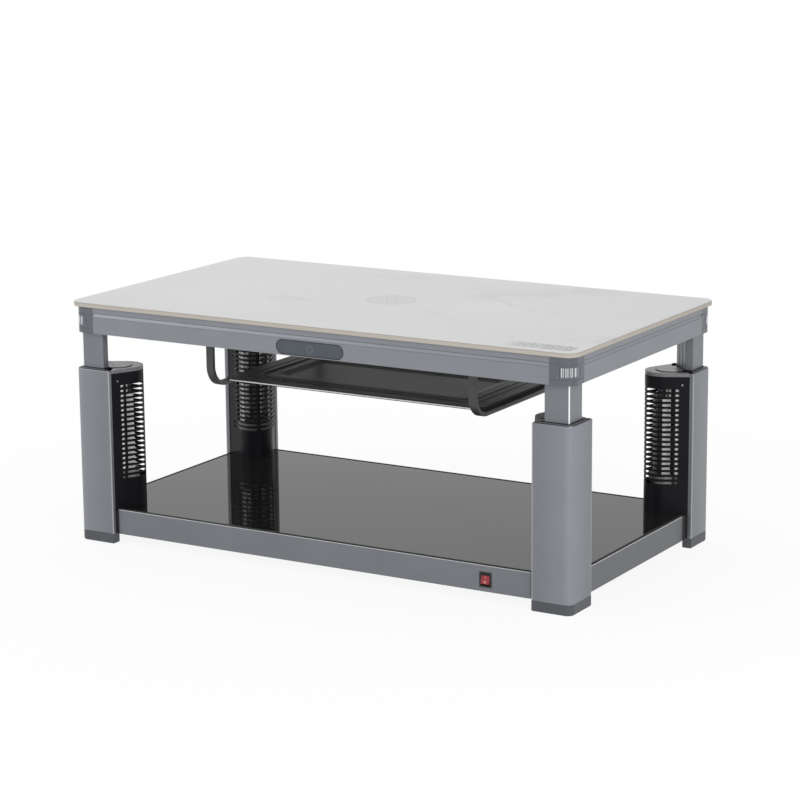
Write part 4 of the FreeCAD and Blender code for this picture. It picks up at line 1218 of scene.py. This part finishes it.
class TABLE_OT_brackets(bpy.types.Operator):
    """Model one fluted corner bracket by extruding and spinning its profile, and mirror it to each leg"""
    bl_idname = "table.brackets"
    bl_label = "Corner brackets"

    def execute(self, context):
        sizes = context.scene.table_bracket
        bracket = self.body(sizes)
        cut_away(bracket, self.cutters(sizes))
        for piece in at_legs(bracket, "corner_bracket"):
            dress(piece, "table", "bracket", ["corner_brackets"])
        return {"FINISHED"}

    def body(self, sizes):
        """Straight arm with its two notches, spun round the corner and carried on along the other arm."""
        turn, arm, sink = sizes.corner, sizes.arm, sizes.notch_depth
        bracket = block("bracket", (turn, sink, APRON_LOW), (arm, sizes.thick, STONE_LOW))
        low = APRON_LOW + sizes.low_notch
        high = STONE_LOW - sizes.high_notch
        notches = ((low, low + sizes.notch), (high - sizes.notch, high))
        begin_edit(bracket)
        for level in sum(notches, ()):
            cut_through((0, 0, level), (0, 0, 1))
        choose(bracket, "faces", lambda face: face.normal.y < -0.9
               and not any(a < middle(face).z < b for a, b in notches))
        extrude((0, -sink, 0))
        choose(bracket, "faces", lambda face: all(abs(v.co.x - turn) < TINY for v in face.verts))
        bpy.ops.mesh.spin(steps=sizes.steps, angle=math.pi / 2, center=(turn, turn, 0), axis=(0, 0, 1))
        choose(bracket, "faces", lambda face: all(abs(v.co.y - turn) < TINY for v in face.verts)
               and middle(face).x < turn)
        extrude((0, arm - turn, 0))
        end_edit()
        merge_points(bracket, TINY)
        face_out(bracket)
        return bracket

    def cutters(self, sizes):
        """Upright bars with domed ends, spread along the bracket's outline."""
        height, radius = sizes.flute_height, sizes.flute_radius
        bar = cylinder("flute", 32, radius, -height / 2, height / 2)
        ease(bar, is_level, 0.8 * radius, 5)
        bars = []
        middle_z = APRON_LOW + sizes.flute_rise + height / 2
        for number in range(sizes.flutes):
            place, away = self.outline((number + 0.5) / sizes.flutes, sizes)
            stand = radius - sizes.flute_depth
            bars.append(copy_of(bar, "flute_" + str(number)))
            bars[-1].location = (place[0] + stand * away[0], place[1] + stand * away[1], middle_z)
            settle(bars[-1])
        drop(bar)
        return join(bars, "flute_cutters")

    def outline(self, share, sizes):
        """Point and outward direction on the outline, from the front reach to the side reach."""
        turn = sizes.corner
        front, side, bend = sizes.front_reach - turn, sizes.side_reach - turn, math.pi / 2 * turn
        run = share * (front + bend + side)
        if run < front:
            return (sizes.front_reach - run, 0), (0, -1)
        if run < front + bend:
            away = (-math.sin((run - front) / turn), -math.cos((run - front) / turn))
            return (turn + turn * away[0], turn + turn * away[1]), away
        return (0, turn + run - front - bend), (-1, 0)


class TABLE_OT_tray(bpy.types.Operator):
    """Model the tray's beads, its pressed well and its front hem, whose near-white coat is a painted
    reflection
    """
    bl_idname = "table.tray"
    bl_label = "Tray beads and hem"

    # Each bead's inset from the tray's edge and its corner's radius; a bead's width, depth, height and edge
    BEADS = ((0.034, 0.020), (0.056, 0.040))
    BEAD_WIDTH, BEAD_SINK, BEAD_HEIGHT, BEAD_EDGE = 0.0026, 0.0003, 0.0012, 0.0008
    # The well's inset, its place below the tray's rim and its corner's radius, then its steps inward and down
    WELL_INSET, WELL_DROP, WELL_CORNER = 0.0875, 0.0015, 0.028
    WELL_STEPS = ((0.0015, 0.0002), (0.020, 0.0042), (0.0015, 0.0001))
    WELL_SHEET = 0.0003
    # The hem's distance from the tray's ends, its reach before and behind the front, its foot and its head
    HEM = (0.014, 0.0008, 0.0002, 0.0018, 0.0044)
    HEM_EDGE = 0.0004

    def execute(self, context):
        low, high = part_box("tray")
        for number, (inset, radius) in enumerate(self.BEADS):
            bead = self.bead("tray_bead_" + str(number + 1), high.x - inset, high.y - inset, radius, high.z)
            dress(bead, "table", "tray_dark")
        well = self.well(high.x - self.WELL_INSET, high.y - self.WELL_INSET, high.z - self.WELL_DROP)
        dress(well, "table", "tray_dark")
        # The hem's near-white coat is a painted reflection of the pale floor along the tray's front edge
        end, before, behind, foot, head = self.HEM
        hem = block("tray_hem", (low.x + end, low.y - before, low.z + foot),
                    (high.x - end, low.y + behind, low.z + head))
        ease(hem, lambda edge: abs(run_of(edge).x) > 0.5 and middle(edge).y < low.y, self.HEM_EDGE, 3)
        smooth(hem, 60)
        dress(hem, "table", "hem")
        return {"FINISHED"}

    def sheet(self, name, half_x, half_y, radius, level):
        """Flat sheet with round corners, left open in edit mode with its face selected."""
        clear_selection()
        bpy.ops.mesh.primitive_plane_add(size=1, location=(0, 0, 0))
        sheet = named(name)
        begin_edit(sheet, "SELECT")
        bpy.ops.transform.resize(value=(2 * half_x, 2 * half_y, 1))
        bpy.ops.transform.translate(value=(0, 0, level))
        bpy.ops.mesh.bevel(offset=radius, segments=8, affect="VERTICES")
        return sheet

    def well(self, half_x, half_y, level):
        """Pressed floor of the tray with its sloping border, as a thin sheet."""
        well = self.sheet("tray_well", half_x, half_y, self.WELL_CORNER, level)
        for inward, down in self.WELL_STEPS:
            bpy.ops.mesh.inset(thickness=inward, depth=-down)
        bpy.ops.mesh.select_all(action="SELECT")
        bpy.ops.mesh.solidify(thickness=self.WELL_SHEET)
        end_edit()
        face_out(well)
        smooth(well)
        return well

    def bead(self, name, half_x, half_y, radius, level):
        """Narrow raised ring with round corners, let into the tray's face."""
        ring = self.sheet(name, half_x, half_y, radius, level - self.BEAD_SINK)
        bpy.ops.mesh.inset(thickness=self.BEAD_WIDTH)
        bpy.ops.mesh.delete(type="FACE")
        bpy.ops.mesh.select_all(action="SELECT")
        extrude((0, 0, self.BEAD_HEIGHT))
        end_edit()
        ease(ring, lambda edge: len(edge.link_faces) == 2 and is_level(edge) and middle(edge).z > level
             and abs(edge.calc_face_angle()) > 1, self.BEAD_EDGE, 3)
        face_out(ring)
        smooth(ring, 50)
        return ring


class TABLE_OT_fittings(bpy.types.Operator):
    """Model the screws on the guards, the collars and the tray's bars"""
    bl_idname = "table.fittings"
    bl_label = "Screws"

    # Radius and height of the small and the large head
    SMALL, LARGE = (0.0023, 0.0011), (0.0045, 0.0024)
    # The collar's screw, inward from the leg's outer faces
    COLLAR_SCREW = (0.0655, 0.0655)
    # A bar's screws, inward from its ends, and the bar's thickness
    BAR_INSET, BAR_THICK = 0.024, 0.005

    def execute(self, context):
        guard = context.scene.table_guard
        small = screw_head("small_screw", *self.SMALL)
        heads = []
        spot, way = guard_point(guard.screw_along, guard)
        level = GUARD_HIGH - guard.screw_drop
        for leg in LEGS:
            for place, facing in ((leg_place(leg, spot.x, spot.y, level), leg_way(leg, way.y, -way.x)),
                                  (leg_place(leg, spot.y, spot.x, level), leg_way(leg, -way.x, way.y)),
                                  (leg_place(leg, *self.COLLAR_SCREW, COLLAR_HIGH + guard.rise), (0, 0, 1))):
                heads.append(put(small, "screw", place, facing))
        dress(join(heads, "heater_screws"), "base", "screw")
        large = screw_head("large_screw", *self.LARGE)
        heads = []
        for bar in ("hanger_left", "hanger_right"):
            low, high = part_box(bar)
            for side in (-1, 1):
                place = ((low.x + high.x) / 2, side * (high.y - self.BAR_INSET), high.z - self.BAR_THICK)
                heads.append(put(large, "screw", place, (0, 0, -1)))
        dress(join(heads, "bar_screws"), "table", "screw")
        drop(small)
        drop(large)
        return {"FINISHED"}


class TABLE_OT_profiles(bpy.types.Operator):
    """Round the edges of the legs, aprons, rails and other plain pieces"""
    bl_idname = "table.profiles"
    bl_label = "Profiles and legs"

    # Each node with the width of its rounded edges, its body, its slot and its finish
    OTHERS = (("feet", 0.0006, "base", "black_plastic", "foot"),
              ("leg_collars", 0.0004, "base", "black_plastic", "black_plastic"),
              ("tray", 0.0004, "table", "tray_dark", "tray_dark"),
              ("hanger_left", 0.0012, "table", "hanger_dark", "hanger_dark"),
              ("hanger_right", 0.0012, "table", "hanger_dark", "hanger_dark"),
              ("control_panel", 0.0003, "table", "panel_gloss", "panel_gloss"),
              ("switch_housing", 0.0004, "base", "black_plastic", "gasket"),
              ("shelf_glass", 0.0006, "base", "glass_black", "glass_black"))

    def execute(self, context):
        rows = [("leg_casing_" + leg, 0.0010, "base", "light_profile", "light_profile") for leg in LEGS]
        rows += [("column_" + leg, 0.0022, "table", "column", "column") for leg in LEGS]
        for name, width, body, slot in (("apron_", 0.0003, "table", "light_profile"),
                                        ("base_rail_", 0.0010, "base", "dark_profile")):
            rows += [(name + side, width, body, slot, slot + "_" + along) for side, along in SIDES.items()]
        for node, width, body, slot, finish in (*rows, *self.OTHERS):
            dress(worked_copy(node, "worked_" + node, width), body, finish, [node])
        return {"FINISHED"}


class TABLE_OT_stage(bpy.types.Operator):
    """Lay the floor and set the lamps, the surround and the camera"""
    bl_idname = "table.stage"
    bl_label = "Stage"

    # The photograph's camera: place in metres, turns in radians, focal length and picture's width in pixels
    EYE = (3.2306, -5.4134, 1.7478)
    YAW, PITCH, ROLL = 0.5350, 0.2177, -0.0085
    FOCAL = 2630.3
    WIDTH = 800

    # The floor's glow: its share by the table, and the distances in metres over which it grows to white
    GLOW_SHARE, GLOW_NEAR, GLOW_FAR = 0.9, 0.7, 1.9

    # The lamps' places and sizes in metres, and the point that they face
    LAMPS = {"key": ((3.6, -2.6, 2.2), (2.4, 2.6)), "fill": ((-2.9, -2.8, 1.9), (2.4, 2.4)),
             "top": ((-0.7, 0.7, 3.2), (2.6, 2.6))}
    AIM = Vector((0, 0, 0.3))

    # The floor's length and depth in metres, and the width that the camera's film has in millimetres
    FLOOR = 30
    FILM = 36.0

    def execute(self, context):
        stage = context.scene.table_stage
        self.camera()
        self.floor(stage)
        for name, (place, size) in self.LAMPS.items():
            self.lamp(name + "_lamp", place, size, getattr(stage, name))
        self.surround(stage)
        context.scene.view_settings.view_transform = "Standard"
        return {"FINISHED"}

    def camera(self):
        level = math.cos(self.PITCH)
        back = Vector((math.sin(self.YAW) * level, -math.cos(self.YAW) * level, math.sin(self.PITCH)))
        right = Vector((0, 0, 1)).cross(back).normalized()
        up = back.cross(right)
        turned = (math.cos(self.ROLL) * right + math.sin(self.ROLL) * up,
                  math.cos(self.ROLL) * up - math.sin(self.ROLL) * right, back)
        data = bpy.data.cameras.new("photo_camera")
        data.sensor_width = self.FILM
        data.lens = self.FOCAL * data.sensor_width / self.WIDTH
        camera = bpy.data.objects.new("photo_camera", data)
        camera.matrix_world = Matrix.Translation(self.EYE) @ Matrix(turned).transposed().to_4x4()
        bpy.context.scene.collection.objects.link(camera)
        bpy.context.scene.camera = camera

    def floor(self, stage):
        clear_selection()
        bpy.ops.mesh.primitive_plane_add(size=self.FLOOR, location=(0, 0, 0))
        floor = named("floor")
        material = bpy.data.materials.new("pale_floor")
        graph = Graph(material)
        far = graph.node("VectorMath", {0: graph.node("TexCoord", {}, "Object")}, "Value", operation="LENGTH")
        glow = graph.node("MapRange", {0: far, 1: self.GLOW_NEAR, 2: self.GLOW_FAR, 3: self.GLOW_SHARE})
        graph.show("Material", graph.seen("Is Camera Ray", "Is Glossy Ray") * glow,
                   graph.node("BsdfDiffuse", {"Color": stage.floor}), graph.node("Emission", {}))
        floor.data.materials.append(material)

    def lamp(self, name, place, size, power):
        data = bpy.data.lights.new(name, "AREA")
        data.shape = "RECTANGLE"
        data.size, data.size_y = size
        data.energy = power
        lamp = bpy.data.objects.new(name, data)
        lamp.location = place
        lamp.rotation_euler = (self.AIM - lamp.location).to_track_quat("-Z", "Y").to_euler()
        bpy.context.scene.collection.objects.link(lamp)

    def surround(self, stage):
        world = bpy.data.worlds.new("surround")
        bpy.context.scene.world = world
        graph = Graph(world)
        soft, white = (graph.node("Background", {"Color": (1, 1, 1), "Strength": strength})
                       for strength in (stage.surround, 1.0))
        graph.show("World", graph.seen("Is Camera Ray", "Is Glossy Ray", "Is Transmission Ray"), soft, white)


class TABLE_PT_panel(bpy.types.Panel):
    """Steps that dress the table"""
    bl_label = "Heated table"
    bl_idname = "TABLE_PT_panel"
    bl_space_type = "VIEW_3D"
    bl_region_type = "UI"
    bl_category = "Heated table"

    def draw(self, context):
        for operator in OPERATORS:
            self.layout.operator(operator.bl_idname)


OPERATORS = (TABLE_OT_finishes, TABLE_OT_stone, TABLE_OT_guards, TABLE_OT_caps, TABLE_OT_heaters,
             TABLE_OT_brackets, TABLE_OT_profiles, TABLE_OT_gaskets, TABLE_OT_marks, TABLE_OT_tray,
             TABLE_OT_fittings, TABLE_OT_stage)
SETTINGS = {"table_look": LookSettings, "table_guard": GuardSettings, "table_heater": HeaterSettings,
            "table_gasket": GasketSettings, "table_bracket": BracketSettings, "table_stage": StageSettings}


def register():
    for kind in (*SETTINGS.values(), *OPERATORS, TABLE_PT_panel):
        bpy.utils.register_class(kind)
    for name, kind in SETTINGS.items():
        setattr(bpy.types.Scene, name, PointerProperty(type=kind))


def unregister():
    for name in SETTINGS:
        delattr(bpy.types.Scene, name)
    for kind in (TABLE_PT_panel, *reversed(OPERATORS), *SETTINGS.values()):
        bpy.utils.unregister_class(kind)


def main():
    register()
    for operator in OPERATORS:
        group, name = operator.bl_idname.split(".")
        getattr(getattr(bpy.ops, group), name)()


if __name__ == "__main__":
    main()
